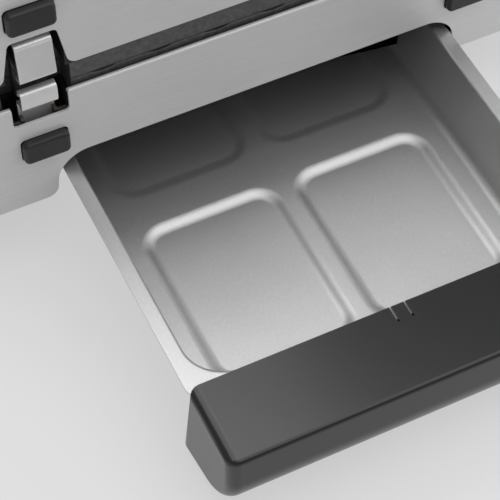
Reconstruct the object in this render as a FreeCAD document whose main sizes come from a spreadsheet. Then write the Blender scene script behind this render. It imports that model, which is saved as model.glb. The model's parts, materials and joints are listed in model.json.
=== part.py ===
import FreeCAD, Part
import math
import os
import Sketcher
from types import SimpleNamespace
from FreeCAD import Vector

# Contact grill with a drip drawer. Millimetres; X to the right, Y to the back, Z up from the counter.
# Pieces are drawn with Y = 0 at the face of the front panels, then moved back by front_y together.

SIZES = {
    # housing
    "body_width": 340.0,
    "body_depth": 300.0,
    "front_y": 64.0,
    "skirt_z": 38.5,
    "deck_z": 105.2,
    "lid_gap": 16.8,
    "lid_height": 64.0,
    "corner_radius": 18.0,
    "sheet": 1.2,
    "hem": 2.6,
    "hem_bevel": 1.2,
    "lid_edge_radius": 11.0,
    "fit": 0.3,
    # drawer opening in the front panel
    "opening_rise": 0.2,
    "opening_gap": 1.3,
    "opening_flare": 3.2,
    "opening_radius": 14.0,
    "opening_foot_radius": 5.0,
    # bottom chassis
    "chassis_wall": 3.0,
    "chassis_side": 12.0,
    "chassis_front": 29.0,
    "chassis_back": 10.0,
    "chassis_floor_z": 8.0,
    "flange_z": 63.5,
    "flange_thick": 2.5,
    "tunnel_gap": 6.5,
    "tunnel_drop": 0.5,
    "tunnel_rear": 44.0,
    "foot_half": 11.0,
    "foot_inset": 37.0,
    "foot_front": 50.0,
    "foot_rear": 34.0,
    # drip tray, handle and rails
    "tray_half": 100.0,
    "rim_width": 7.4,
    "rim_z": 54.0,
    "tray_sheet": 0.8,
    "tray_stop": 13.5,
    "rim_lap": 6.0,
    "tray_floor_z": 14.5,
    "tray_draft": 2.4,
    "tray_corner": 18.0,
    "floor_bevel": 4.0,
    "pad_inner_x": 4.1,
    "pad_side": 17.4,
    "pad_front": 18.0,
    "pad_back": 9.1,
    "pad_gap": 19.5,
    "pad_depth": 1.8,
    "pad_slope": 4.0,
    "pad_corner": 13.0,
    "drawn_out": 131.0,
    "handle_gap": 1.5,
    "handle_crown": 1.8,
    "handle_depth": 42.0,
    "handle_lean": 9.0,
    "handle_bottom": 1.8,
    "handle_rise": 11.0,
    "handle_belly": 31.0,
    "handle_end_bevel": 2.2,
    "handle_skin": 1.6,
    "handle_cheek": 2.8,
    "handle_pocket": 7.5,
    "tab_half": 3.5,
    "tab_slot": 1.0,
    "tab_length": 8.5,
    "rail_sheet": 1.5,
    "rail_lap": 5.2,
    "rail_drop": 14.0,
    "rail_front": 31.0,
    "rail_rear": 4.0,
    # deck frame and lid frame
    "deck_drop": 7.2,
    "ring_thick": 2.5,
    "lid_ring_drop": 2.0,
    "ring_lap": 12.0,
    "ring_front": 24.0,
    "post_inset": 6.7,
    "post_front": 42.0,
    "post_half": 4.2,
    "lid_post_inset": 19.0,
    "lid_post_front": 24.0,
    "lid_post_rear": 46.0,
    "screw_reach": 1.7,
    "screw_head": 3.6,
    "screw_head_thick": 2.2,
    "screw_length": 16.0,
    # grill plates
    "plate_side": 20.0,
    "plate_front": 3.6,
    "plate_rear": 50.0,
    "plate_corner": 12.0,
    "plate_thick": 9.5,
    "plate_floor": 4.0,
    "plate_lip": 5.0,
    "trough_depth": 13.0,
    "rib_pitch": 13.8,
    "rib_width": 5.0,
    "rib_crest": 2.4,
    "rib_height": 4.5,
    "drain_radius": 5.0,
    "drain_y": 15.0,
    "spout_wall": 2.0,
    "spout_drop": 28.0,
    "scallop_radius": 14.0,
    "scallop_depth": 1.4,
    "plates_apart": 0.3,
    "tab_width": 14.0,
    "tab_front": 2.8,
    "tab_thick": 4.0,
    "tab_gap": 0.6,
    "tongue_x": 62.0,
    "tongue_width": 16.0,
    "tongue_reach": 8.0,
    "tongue_thick": 3.0,
    # heating elements and reflectors
    "tube_radius": 3.25,
    "tube_side": 28.0,
    "tube_front": 48.0,
    "tube_rear": 28.0,
    "tube_bend": 22.0,
    "tube_lead": 14.0,
    "reflector_sheet": 0.8,
    "reflector_rim": 7.0,
    "reflector_gap": 2.0,
    "reflector_front": 31.0,
    "reflector_rear": 6.0,
    "reflector_depth": 16.6,
    "fuse_height": 8.0,
    "fuse_length": 24.0,
    "cradle_inset": 24.0,
    "cradle_width": 14.0,
    "cradle_thick": 3.0,
    # plate latches
    "latch_inset": 62.5,
    "latch_inner": 13.6,
    "latch_wall": 2.0,
    "latch_back": 17.0,
    "latch_notch": 16.2,
    "latch_pocket_y": 16.6,
    "pivot_y": 4.8,
    "pivot_drop": 15.2,
    "pivot_rise": 24.0,
    "pin_radius": 1.5,
    "pin_clearance": 0.05,
    "clip_width": 17.0,
    "clip_sheet": 1.5,
    "strip_y": 6.3,
    "ear_half": 4.2,
    "hook_rise": 4.8,
    "hook_drop": 3.7,
    "hook_front": 0.5,
    "hook_reach": 5.0,
    "fold_drop": 3.5,
    "hood_drop": 2.3,
    "hood_tilt": 3.0,
    "low_arm": 13.65,
    "high_arm": 12.35,
    "button_width": 22.0,
    "button_height": 12.8,
    "button_stays": 1.5,
    "button_radius": 1.8,
    "button_gap": 0.4,
    "button_flange": 2.0,
    "button_travel": 2.5,
    "stem_height": 2.4,
    "cutout_half": 13.2,
    "cutout_drop": 12.2,
    "hood_cut_half": 11.0,
    "hood_cut_foot": 15.2,
    "hood_cut_rise": 23.3,
    "spring_sheet": 0.6,
    # lid hinge
    "pivot_rear": 12.0,
    "hinge_pin": 4.0,
    "bracket_inset": 40.0,
    "bracket_half": 15.0,
    "bracket_plate": 3.0,
    "bracket_depth": 18.0,
    "float_travel": 15.0,
    "arm_half": 11.0,
    "arm_seat": 22.0,
    "arm_thick": 13.0,
    "eye_radius": 9.0,
    "hinge_notch": 17.5,
    "notch_reach": 26.0,
    # lid handle
    "arm_plate": 8.0,
    "grip_y": 24.0,
    "grip_rise": 28.0,
    "grip_radius": 12.0,
    "arm_root_drop": 34.0,
    "arm_root_y": 62.0,
    "arm_root_radius": 17.0,
    # control, lamps and inlet
    "knob_y": 86.0,
    "knob_z": 56.0,
    "knob_radius": 14.0,
    "knob_length": 12.0,
    "spindle_radius": 3.0,
    "spindle_length": 38.0,
    "thermostat_size": 30.0,
    "thermostat_height": 20.0,
    "lamp_width": 8.0,
    "lamp_height": 5.0,
    "lamp_proud": 1.6,
    "lamp_offset": 24.0,
    "lamp_pitch": 15.0,
    "inlet_inset": 60.0,
    "inlet_z": 52.0,
    "inlet_width": 28.0,
    "inlet_height": 20.0,
    "inlet_depth": 24.0,
    "inlet_flange": 3.0,
    "inlet_wall": 2.0,
}

document = FreeCAD.newDocument("contact_grill")
sheet = document.addObject("Spreadsheet::Sheet", "Sizes")
for row, (word, number) in enumerate(SIZES.items(), start=1):
    sheet.set(f"A{row}", word)
    sheet.set(f"B{row}", str(number))
    sheet.setAlias(f"B{row}", word)
document.recompute()


class Size:
    """A length together with the sheet formula that gives it."""

    def __init__(self, value, formula):
        self.value = float(value)
        self.formula = formula

    def combined(self, sign, other, value):
        return Size(value, f"({self.formula} {sign} {other.formula})")

    def __add__(self, other):
        other = sized(other)
        return self.combined("+", other, self.value + other.value)

    def __sub__(self, other):
        other = sized(other)
        return self.combined("-", other, self.value - other.value)

    def __mul__(self, other):
        other = sized(other)
        return self.combined("*", other, self.value * other.value)

    def __truediv__(self, other):
        other = sized(other)
        return self.combined("/", other, self.value / other.value)

    def __radd__(self, other):
        return sized(other) + self

    def __rsub__(self, other):
        return sized(other) - self

    def __rmul__(self, other):
        return sized(other) * self

    def __neg__(self):
        return Size(-self.value, f"(-{self.formula})")


def sized(number):
    return number if isinstance(number, Size) else Size(number, f"{float(number)}")


s = SimpleNamespace(**{word: Size(number, f"Sizes.{word}") for word, number in SIZES.items()})

# What follows from those sizes: levels first, then places across and from front to back
s.lid_z = s.deck_z + s.lid_gap
s.lid_top = s.lid_z + s.lid_height
s.flange_top = s.flange_z + s.flange_thick
s.tunnel_top = s.flange_z - s.tunnel_drop
s.opening_top = s.tunnel_top + s.opening_rise
s.handle_top = s.rim_z + s.handle_crown
s.deck_top = s.deck_z - s.deck_drop
s.plate_top = s.deck_top + s.plate_thick
s.spout_z = s.deck_top - s.spout_drop
s.lid_ring_z = s.lid_z - s.lid_ring_drop
s.pivot_low = s.deck_z - s.pivot_drop
s.pivot_high = s.lid_z + s.pivot_rise
s.button_low = s.pivot_low - s.low_arm
s.button_high = s.pivot_high + s.high_arm
s.hook_top = s.plate_top + s.hook_rise
s.hook_lip_z = s.plate_top + s.tab_gap
s.hook_bottom = s.deck_z - s.hook_drop
s.cutout_bottom = s.deck_z - s.cutout_drop
s.fold_z = s.pivot_high - s.fold_drop
s.hood_bottom = s.lid_z - s.hood_drop
s.hood_cut_top = s.lid_z + s.hood_cut_rise
s.grip_z = s.lid_top + s.grip_rise
s.arm_root_z = s.lid_top - s.arm_root_drop

half_width = s.body_width / 2
s.opening_half = s.tray_half + s.opening_gap
s.tunnel_half = s.tray_half + s.tunnel_gap
s.rail_lip_x = s.tray_half - s.rail_lap
s.pad_outer_x = s.tray_half - s.rim_width - s.pad_side
s.foot_x = half_width - s.foot_inset
s.post_x = half_width - s.post_inset
s.lid_post_x = half_width - s.lid_post_inset
s.bracket_x = half_width - s.bracket_inset
s.latch_x = half_width - s.latch_inset
s.inlet_x = s.inlet_inset - half_width
s.plate_half = half_width - s.plate_side
s.ring_half = s.plate_half - s.ring_lap
s.reflector_half = s.ring_half - s.reflector_gap
s.tube_half = s.reflector_half - s.tube_side
s.cradle_x = s.tube_half - s.cradle_inset

depth = s.body_depth
s.tunnel_end = depth - s.tunnel_rear
s.rail_back = s.tunnel_end - s.rail_rear
s.tray_length = s.tunnel_end - s.tray_stop + s.rim_lap + s.handle_gap
tray_floor_length = s.tray_length - s.rim_lap - s.rim_width - s.pad_front - s.pad_back
s.pad_length = (tray_floor_length - s.pad_gap) / 2
s.foot_back = depth - s.foot_rear
s.post_pitch = (depth - s.post_front * 2) / 2
s.lid_post_pitch = (depth - s.lid_post_front - s.lid_post_rear) / 2
s.plate_back = depth - s.plate_rear
s.ring_back = s.plate_back - s.ring_lap
s.reflector_back = s.ring_back - s.reflector_rear
s.tube_back = s.reflector_back - s.tube_rear
s.hinge_y = depth - s.pivot_rear
s.hinge_notch_front = s.hinge_y - s.notch_reach
s.arm_front = s.hinge_notch_front - s.arm_seat
PLANES = {"XY": "XY_Plane", "XZ": "XZ_Plane", "YZ": "YZ_Plane"}
pieces = []


def bind(target, name, size):
    target.setExpression(name, sized(size).formula)


def in_order(first, second):
    return (first, second) if sized(first).value <= sized(second).value else (second, first)


# Sketches: closed outlines of straight sides, where a corner may carry a radius


def corner_radius_of(corner):
    return sized(corner[2]) if len(corner) > 2 else None


def tangent_points(before, corner, after, radius):
    to_before = (before - corner).normalize()
    to_after = (after - corner).normalize()
    half_angle = to_before.getAngle(to_after) / 2
    reach = radius / math.tan(half_angle)
    centre = corner + (to_before + to_after).normalize() * (radius / math.sin(half_angle))
    turns_left = to_before.cross(to_after).z < 0
    return corner + to_before * reach, corner + to_after * reach, centre, turns_left


def draw_outline(sketch, corners):
    spots = [Vector(sized(c[0]).value, sized(c[1]).value, 0) for c in corners]
    count = len(corners)
    arrive = list(spots)
    leave = list(spots)
    arcs = {}
    for i, corner in enumerate(corners):
        radius = corner_radius_of(corner)
        if radius is None:
            continue
        before, after = spots[i - 1], spots[(i + 1) % count]
        arrive[i], leave[i], centre, left = tangent_points(before, spots[i], after, radius.value)
        arcs[i] = (centre, left, radius)
    sides = []
    for i in range(count):
        line = Part.LineSegment(leave[i], arrive[(i + 1) % count])
        sides.append(sketch.addGeometry(line, False))
    for i, corner in enumerate(corners):
        side_in, side_out = sides[i - 1], sides[i]
        if i in arcs:
            centre, left, radius = arcs[i]
            first, last = (arrive[i], leave[i]) if left else (leave[i], arrive[i])
            start = math.atan2(first.y - centre.y, first.x - centre.x)
            end = math.atan2(last.y - centre.y, last.x - centre.x)
            circle = Part.Circle(centre, Vector(0, 0, 1), radius.value)
            arc = sketch.addGeometry(Part.ArcOfCircle(circle, start, end), False)
            near, far = (1, 2) if left else (2, 1)
            sketch.addConstraint(Sketcher.Constraint("Tangent", side_in, 2, arc, near))
            sketch.addConstraint(Sketcher.Constraint("Tangent", side_out, 1, arc, far))
            number = sketch.addConstraint(Sketcher.Constraint("Radius", arc, radius.value))
            bind(sketch, f"Constraints[{number}]", radius)
            point = sketch.addGeometry(Part.Point(spots[i]), True)
            sketch.addConstraint(Sketcher.Constraint("PointOnObject", point, 1, side_in))
            sketch.addConstraint(Sketcher.Constraint("PointOnObject", point, 1, side_out))
            anchor = (point, 1)
        else:
            sketch.addConstraint(Sketcher.Constraint("Coincident", side_in, 2, side_out, 1))
            anchor = (side_out, 1)
        for kind, coordinate in zip(("DistanceX", "DistanceY"), corner[:2]):
            value = sized(coordinate).value
            number = sketch.addConstraint(Sketcher.Constraint(kind, -1, 1, *anchor, value))
            bind(sketch, f"Constraints[{number}]", coordinate)


def draw_circle(sketch, centre_u, centre_v, radius):
    centre = Vector(sized(centre_u).value, sized(centre_v).value, 0)
    ring = sketch.addGeometry(Part.Circle(centre, Vector(0, 0, 1), sized(radius).value), False)
    for kind, coordinate in (("DistanceX", centre_u), ("DistanceY", centre_v)):
        value = sized(coordinate).value
        number = sketch.addConstraint(Sketcher.Constraint(kind, -1, 1, ring, 3, value))
        bind(sketch, f"Constraints[{number}]", coordinate)
    number = sketch.addConstraint(Sketcher.Constraint("Radius", ring, sized(radius).value))
    bind(sketch, f"Constraints[{number}]", radius)


def rounded(u_low, u_high, v_low, v_high, radius=None):
    corners = [(u_low, v_low), (u_high, v_low), (u_high, v_high), (u_low, v_high)]
    if radius is None:
        return corners
    return [corner + (radius,) for corner in corners]


def faceted(u_low, u_high, v_low, v_high, radius, chords):
    """A rectangle whose corners follow a radius in that many straight chords."""
    radius = sized(radius)
    middles = [
        (u_high - radius, v_high - radius), (u_low + radius, v_high - radius),
        (u_low + radius, v_low + radius), (u_high - radius, v_low + radius),
    ]
    return [
        (
            u + radius * math.cos(math.pi / 2 * (quarter + step / chords)),
            v + radius * math.sin(math.pi / 2 * (quarter + step / chords)),
        )
        for quarter, (u, v) in enumerate(middles)
        for step in range(chords + 1)
    ]


def polygon(u, v, reach, sides=6):
    """Corners at a distance of reach from the middle."""
    turns = [math.tau * step / sides for step in range(sides)]
    return [(u + reach * math.cos(turn), v + reach * math.sin(turn)) for turn in turns]


def plane_of(body, plane):
    return next(o for o in body.Origin.OriginFeatures if o.Role == PLANES[plane])


def add_sketch(body, plane, offset, shapes):
    sketch = body.newObject("Sketcher::SketchObject", f"{body.Name}_sketch")
    sketch.AttachmentSupport = [(plane_of(body, plane), "")]
    sketch.MapMode = "FlatFace"
    bind(sketch, "AttachmentOffset.Base.z", offset)
    for shape in shapes:
        if isinstance(shape, list):
            draw_outline(sketch, shape)
        else:
            draw_circle(sketch, *shape)
    return sketch


# Solid features, each given the interval that it fills or clears along its plane's normal


def new_body(label):
    body = document.addObject("PartDesign::Body", label)
    body.Label = label
    return body


def pad(body, plane, low, high, *shapes, taper=None):
    offset = -high if plane == "XZ" else low
    feature_sketch = add_sketch(body, plane, offset, shapes)
    feature = body.newObject("PartDesign::Pad", f"{body.Name}_pad")
    feature.Profile = feature_sketch
    bind(feature, "Length", high - low)
    if taper is not None:
        bind(feature, "TaperAngle", taper)
    return feature


def pocket(body, plane, low, high, *shapes, taper=None):
    offset = -low if plane == "XZ" else high
    feature_sketch = add_sketch(body, plane, offset, shapes)
    feature = body.newObject("PartDesign::Pocket", f"{body.Name}_pocket")
    feature.Profile = feature_sketch
    bind(feature, "Length", high - low)
    if taper is not None:
        bind(feature, "TaperAngle", taper)
    return feature


def edges_where(shape, test):
    return [f"Edge{i}" for i, edge in enumerate(shape.Edges, start=1) if test(edge)]


def lies_at(edge, axis, place, slack=0.01):
    box = edge.BoundBox
    low, high = getattr(box, f"{axis}Min"), getattr(box, f"{axis}Max")
    target = sized(place).value
    return abs(low - target) < slack and abs(high - target) < slack


def dress_edges(body, kind, size_name, size, test):
    document.recompute()
    tip = body.Tip
    names = edges_where(tip.Shape, test)
    feature = body.newObject(f"PartDesign::{kind}", f"{body.Name}_{kind.lower()}")
    feature.Base = (tip, names)
    bind(feature, size_name, size)
    return feature


def round_edges(body, radius, test):
    return dress_edges(body, "Fillet", "Radius", radius, test)


def bevel_edges(body, size, test):
    return dress_edges(body, "Chamfer", "Size", size, test)


def finish(piece, label=None, drawn_out=None):
    piece.Label = label or piece.Label
    move = -s.front_y if drawn_out is None else -s.front_y - drawn_out
    bind(piece, "Placement.Base.y", move)
    pieces.append(piece)
    return piece


# Plain Part primitives for small hardware


def box(x_span, y_span, z_span):
    solid = document.addObject("Part::Box", "block")
    for name, axis, span in zip(("Length", "Width", "Height"), "xyz", (x_span, y_span, z_span)):
        low, high = in_order(*span)
        bind(solid, name, sized(high) - low)
        bind(solid, f"Placement.Base.{axis}", low)
    return solid


TURNS = {
    "x": FreeCAD.Rotation(Vector(1, 1, 1), 120),
    "y": FreeCAD.Rotation(Vector(1, 1, 1), -120),
    "z": FreeCAD.Rotation(),
}


def set_along(solid, axis, span, across):
    """Stand a rod along an axis; across gives the other two coordinates in X, Y, Z order."""
    low, high = in_order(*span)
    solid.Placement = FreeCAD.Placement(Vector(), TURNS[axis])
    bind(solid, "Height", sized(high) - low)
    bind(solid, f"Placement.Base.{axis}", low)
    for other, place in zip([a for a in "xyz" if a != axis], across):
        bind(solid, f"Placement.Base.{other}", place)
    return solid


def cylinder(axis, span, across, radius):
    solid = document.addObject("Part::Cylinder", "rod")
    bind(solid, "Radius", radius)
    return set_along(solid, axis, span, across)


def hex_rod(axis, span, across, reach):
    solid = document.addObject("Part::Prism", "hex")
    solid.Polygon = 6
    bind(solid, "Circumradius", reach)
    return set_along(solid, axis, span, across)


def joined(*solids):
    fused = document.addObject("Part::MultiFuse", "joined")
    fused.Shapes = list(solids)
    return fused


def gathered(*solids):
    group = document.addObject("Part::Compound", "group")
    group.Links = list(solids)
    return group


def less(base, *tools):
    result = document.addObject("Part::Cut", "cut")
    result.Base = base
    result.Tool = tools[0] if len(tools) == 1 else joined(*tools)
    return result


SIDES = (("left", -1), ("right", 1))


def housing_plan(inset):
    """The rounded plan of the housing, drawn in by inset on every side."""
    return rounded(
        -half_width + inset, half_width - inset, sized(inset), depth - inset, s.corner_radius - inset
    )


def inner_plan(inset):
    """The same plan for what lies inside, where the corners need only two facets each."""
    return faceted(
        -half_width + inset, half_width - inset, sized(inset), depth - inset,
        s.corner_radius - inset, 2,
    )


# Steel shells of the base and the lid


def button_window(x, z):
    wide = s.button_width / 2 + s.button_gap
    tall = s.button_height / 2 + s.button_gap
    return faceted(x - wide, x + wide, z - tall, z + tall, s.button_radius, 1)


def base_shell():
    body = new_body("base_shell")
    pad(body, "XY", s.skirt_z, s.deck_z, housing_plan(0))
    bevel_edges(body, s.hem_bevel, lambda edge: lies_at(edge, "Z", s.deck_z))
    pocket(body, "XY", s.skirt_z - 1, s.deck_z - s.sheet, inner_plan(s.sheet))
    pocket(body, "XY", s.deck_z - s.sheet * 2, s.deck_z + 1, inner_plan(s.hem))
    foot = s.opening_half + s.opening_flare
    opening = [
        (-foot, s.skirt_z),
        (-foot, s.skirt_z - 1),
        (foot, s.skirt_z - 1),
        (foot, s.skirt_z),
        (s.opening_half, s.opening_top, s.opening_radius),
        (-s.opening_half, s.opening_top, s.opening_radius),
    ]
    pocket(body, "XZ", -1, s.sheet + 1, opening)
    round_edges(
        body,
        s.opening_foot_radius,
        lambda edge: lies_at(edge, "Z", s.skirt_z)
        and (lies_at(edge, "X", foot) or lies_at(edge, "X", -foot)),
    )
    for _, side in SIDES:
        x = side * s.latch_x
        bottom = rounded(x - s.cutout_half, x + s.cutout_half, s.cutout_bottom, s.deck_z + 1)
        pocket(body, "XZ", -1, s.hem + 1, bottom, button_window(x, s.button_low))
    pocket(body, "YZ", half_width - s.sheet * 2, half_width + 1, *control_holes())
    pocket(body, "XZ", depth - s.sheet * 2, depth + 1, inlet_outline(s.fit))
    return finish(body)


def lamp_outline(y, grow):
    wide = s.lamp_width / 2 + grow
    tall = s.lamp_height / 2 + grow
    return rounded(y - wide, y + wide, s.knob_z - tall, s.knob_z + tall)


def lamp_places():
    first = s.knob_y + s.lamp_offset
    return first, first + s.lamp_pitch


def control_holes():
    """Openings for the spindle and both lamps, shared by the shell and the chassis."""
    spindle = square(s.knob_y, s.knob_z, s.spindle_radius * 2)
    return [spindle] + [lamp_outline(y, s.fit) for y in lamp_places()]


def inlet_outline(grow):
    wide = s.inlet_width / 2 + grow
    tall = s.inlet_height / 2 + grow
    return rounded(s.inlet_x - wide, s.inlet_x + wide, s.inlet_z - tall, s.inlet_z + tall)


def lid_shell():
    body = new_body("lid_shell")
    pad(body, "XY", s.lid_z, s.lid_top, housing_plan(0))
    round_edges(body, s.lid_edge_radius, lambda edge: lies_at(edge, "Z", s.lid_top))
    turn = s.lid_edge_radius
    inner = turn - s.sheet
    halfway = turn - inner * math.sqrt(0.5)
    loft(
        body, "Subtractive",
        (s.lid_z - 1, inner_plan(s.sheet)), (s.lid_top - turn, inner_plan(s.sheet)),
        (s.lid_top - halfway, inner_plan(halfway)), (s.lid_top - s.sheet, inner_plan(turn)),
    )
    for _, side in SIDES:
        x = side * s.latch_x
        hood = [
            (x - s.hood_cut_foot, s.lid_z - 1),
            (x + s.hood_cut_foot, s.lid_z - 1),
            (x + s.hood_cut_half, s.hood_cut_top),
            (x - s.hood_cut_half, s.hood_cut_top),
        ]
        pocket(body, "XZ", -1, s.sheet + 1, hood, button_window(x, s.button_high))
        hinge = side * s.bracket_x
        notch = rounded(
            hinge - s.hinge_notch, hinge + s.hinge_notch, s.lid_z - 1, s.lid_z + s.hinge_notch,
        )
        pocket(body, "XZ", depth - s.sheet - 1, depth + 1, notch)
        pocket(
            body, "YZ",
            *in_order(side * (half_width - s.sheet * 2), side * (half_width + 1)),
            *[polygon(y, z, s.screw_reach + s.pin_clearance) for y, z in arm_screws()],
        )
    return finish(body)


def arm_screws():
    pitch = s.arm_root_radius / 2
    return ((s.arm_root_y - pitch, s.arm_root_z), (s.arm_root_y + pitch, s.arm_root_z))


# Frames, chassis and what stands on them


def ring_openings(body, low, high):
    """Openings shared by the deck frame and the lid frame: plate well, latches and hinges."""
    well = rounded(-s.ring_half, s.ring_half, s.ring_front, s.ring_back)
    shapes = [well]
    for _, side in SIDES:
        x = side * s.latch_x
        shapes.append(rounded(x - s.latch_inner, x + s.latch_inner, -1, s.latch_back))
        hinge = side * s.bracket_x
        shapes.append(
            rounded(hinge - s.hinge_notch, hinge + s.hinge_notch, s.hinge_notch_front, depth + 1)
        )
    pocket(body, "XY", low, high, *shapes)


def square(x, y, half):
    return rounded(x - half, x + half, y - half, y + half)


def post_places(x, front, pitch):
    return [(side * x, front + pitch * step) for _, side in SIDES for step in range(3)]


def deck_frame():
    body = new_body("deck_frame")
    low = s.deck_top - s.ring_thick
    pad(body, "XY", low, s.deck_top, inner_plan(s.sheet + s.fit))
    ring_openings(body, low - 1, s.deck_top + 1)
    pocket(body, "XY", low - 1, s.deck_top + 1, square(0, s.drain_y, drain_outer() + 1))
    posts = post_places(s.post_x, s.post_front, s.post_pitch)
    pad(body, "XY", s.flange_top, low, *[square(x, y, s.post_half) for x, y in posts])
    bore = s.screw_reach + s.pin_clearance
    pocket(
        body, "XY", s.flange_top - 1, s.flange_z + s.screw_length + 1,
        *[polygon(x, y, bore) for x, y in posts],
    )
    tongue_z = s.deck_top + s.plates_apart * 2
    for side in (-1, 1):
        x_low, x_high = in_order(side * (s.tongue_x - 4), side * (s.tongue_x + s.tongue_width + 4))
        keeper = rounded(
            s.plate_back + 1.5, s.plate_back + s.tongue_reach + 3,
            s.deck_top, tongue_z + s.tongue_thick + s.ring_thick + 1,
        )
        pad(body, "YZ", x_low, x_high, keeper)
        slot = rounded(
            s.plate_back, s.plate_back + s.tongue_reach + s.fit,
            s.deck_top, tongue_z + s.tongue_thick + s.fit,
        )
        slot_low, slot_high = in_order(
            side * (s.tongue_x - s.fit), side * (s.tongue_x + s.tongue_width + s.fit)
        )
        pocket(body, "YZ", slot_low, slot_high, slot)
    return finish(body)


def drain_outer():
    return s.drain_radius + s.spout_wall


def chassis():
    body = new_body("chassis")
    outer = half_width - s.chassis_side
    back = depth - s.chassis_back
    wall = s.chassis_wall
    tub = rounded(-outer, outer, s.chassis_front, back)
    pad(body, "XY", s.chassis_floor_z, s.flange_z, tub)
    pad(body, "XY", s.flange_z, s.flange_top, inner_plan(s.sheet + s.fit))
    inner = outer - wall
    tunnel = s.tunnel_half + wall
    front = s.chassis_front + wall
    rear = back - wall
    well = [
        (-inner, front), (-tunnel, front), (-tunnel, s.tunnel_end + wall),
        (tunnel, s.tunnel_end + wall), (tunnel, front), (inner, front), (inner, rear), (-inner, rear),
    ]
    pocket(body, "XY", s.chassis_floor_z + wall, s.flange_top + 1, well)
    bay = rounded(-s.tunnel_half, s.tunnel_half, s.chassis_front - 1, s.tunnel_end)
    pocket(body, "XY", s.chassis_floor_z - 1, s.tunnel_top, bay)
    bore = s.screw_reach + s.pin_clearance
    posts = post_places(s.post_x, s.post_front, s.post_pitch)
    pocket(
        body, "XY", s.flange_z - 1, s.flange_top + 1,
        square(0, s.drain_y, drain_outer() + 1), *[polygon(x, y, bore) for x, y in posts],
    )
    pocket(body, "YZ", inner - 1, outer + 1, *control_holes())
    pocket(body, "XZ", rear - 1, back + 1, inlet_outline(s.fit))
    return finish(body)


def lid_frame():
    body = new_body("lid_frame")
    high = s.lid_ring_z + s.ring_thick
    pad(body, "XY", s.lid_ring_z, high, inner_plan(s.sheet + s.fit))
    ring_openings(body, s.lid_ring_z - 1, high + 1)
    posts = post_places(s.lid_post_x, s.lid_post_front, s.lid_post_pitch)
    crown = s.lid_top - s.sheet - s.fit
    pad(body, "XY", high, crown, *[square(x, y, s.post_half) for x, y in posts])
    return finish(body)


def rubber_feet():
    feet = []
    for _, side in SIDES:
        for y in (s.foot_front, s.foot_back):
            x = side * s.foot_x
            half = s.foot_half
            feet.append(box((x - half, x + half), (y - half, y + half), (0, s.chassis_floor_z)))
    return finish(gathered(*feet), "rubber_feet")


def chassis_screws():
    screws = []
    for x, y in post_places(s.post_x, s.post_front, s.post_pitch):
        head = hex_rod("z", (s.flange_z - s.screw_head_thick, s.flange_z), (x, y), s.screw_head)
        shank = hex_rod("z", (s.flange_z, s.flange_z + s.screw_length), (x, y), s.screw_reach)
        screws.append(joined(head, shank))
    return finish(gathered(*screws), "chassis_screws")


def drawer_rail(name, side):
    body = new_body(f"drawer_rail_{name}")
    under_rim = s.rim_z - s.tray_sheet - s.fit
    profile = [
        (side * s.tunnel_half, under_rim),
        (side * s.rail_lip_x, under_rim),
        (side * s.rail_lip_x, under_rim - s.rail_sheet),
        (side * (s.tunnel_half - s.rail_sheet), under_rim - s.rail_sheet),
        (side * (s.tunnel_half - s.rail_sheet), under_rim - s.rail_drop),
        (side * s.tunnel_half, under_rim - s.rail_drop),
    ]
    pad(body, "XZ", s.rail_front, s.rail_back, profile)
    return finish(body)


# Grill plates, elements and reflectors


def plate_outline():
    near = s.latch_x - s.latch_notch
    far = s.latch_x + s.latch_notch
    corner = s.plate_corner
    right = [
        (near, s.plate_front), (near, s.latch_pocket_y),
        (far, s.latch_pocket_y), (far, s.plate_front),
        (s.plate_half, s.plate_front, corner), (s.plate_half, s.plate_back, corner),
    ]
    left = [(-corner_[0],) + tuple(corner_[1:]) for corner_ in reversed(right)]
    return right + left


def plate_well():
    near = s.latch_x - s.latch_notch - s.plate_lip
    side = s.plate_half - s.plate_lip
    step = s.latch_pocket_y + s.plate_lip
    front = s.plate_front + s.plate_lip
    back = s.plate_back - s.plate_lip
    small = s.plate_corner / 3
    return [
        (-near, front), (near, front), (near, step), (side, step),
        (side, back, small), (-side, back, small), (-side, step), (-near, step),
    ]


def grill_plate(name, low, high, cooking_up):
    """A cast plate whose cooking side, with its ribs, faces up or down."""
    body = new_body(name)
    pad(body, "XY", low, high, plate_outline())
    if cooking_up:
        floor = low + s.plate_floor
        pocket(body, "XY", floor, high + 1, plate_well())
        crest = floor + s.rib_height
    else:
        floor = high - s.plate_floor
        pocket(body, "XY", low - 1, floor, plate_well())
        crest = floor - s.rib_height
    first = s.rib_pitch * -10
    rib = [
        (first - s.rib_width / 2, floor), (first + s.rib_width / 2, floor),
        (first + s.rib_crest / 2, crest), (first - s.rib_crest / 2, crest),
    ]
    start = s.latch_pocket_y + s.plate_lip + s.trough_depth
    ribs = pad(body, "XZ", start, s.plate_back - s.plate_lip * 2, rib)
    row_of_ribs = body.newObject("PartDesign::LinearPattern", f"{name}_ribs")
    row_of_ribs.Originals = [ribs]
    x_axis = next(o for o in body.Origin.OriginFeatures if o.Role == "X_Axis")
    row_of_ribs.Direction = (x_axis, [""])
    bind(row_of_ribs, "Length", s.rib_pitch * 20)
    row_of_ribs.Occurrences = 21
    body.Tip = row_of_ribs
    for _, side in SIDES:
        x_low, x_high = in_order(
            side * (s.latch_x - s.tab_width / 2), side * (s.latch_x + s.tab_width / 2)
        )
        back = s.latch_pocket_y
        riser = back - s.tab_thick
        foot = high - s.tab_thick if cooking_up else s.hood_bottom + s.clip_sheet + s.tab_gap
        profile = [
            (s.tab_front, foot), (riser, foot), (riser, low),
            (back, low), (back, foot + s.tab_thick), (s.tab_front, foot + s.tab_thick),
        ]
        pad(body, "YZ", x_low, x_high, profile)
    return body


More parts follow.
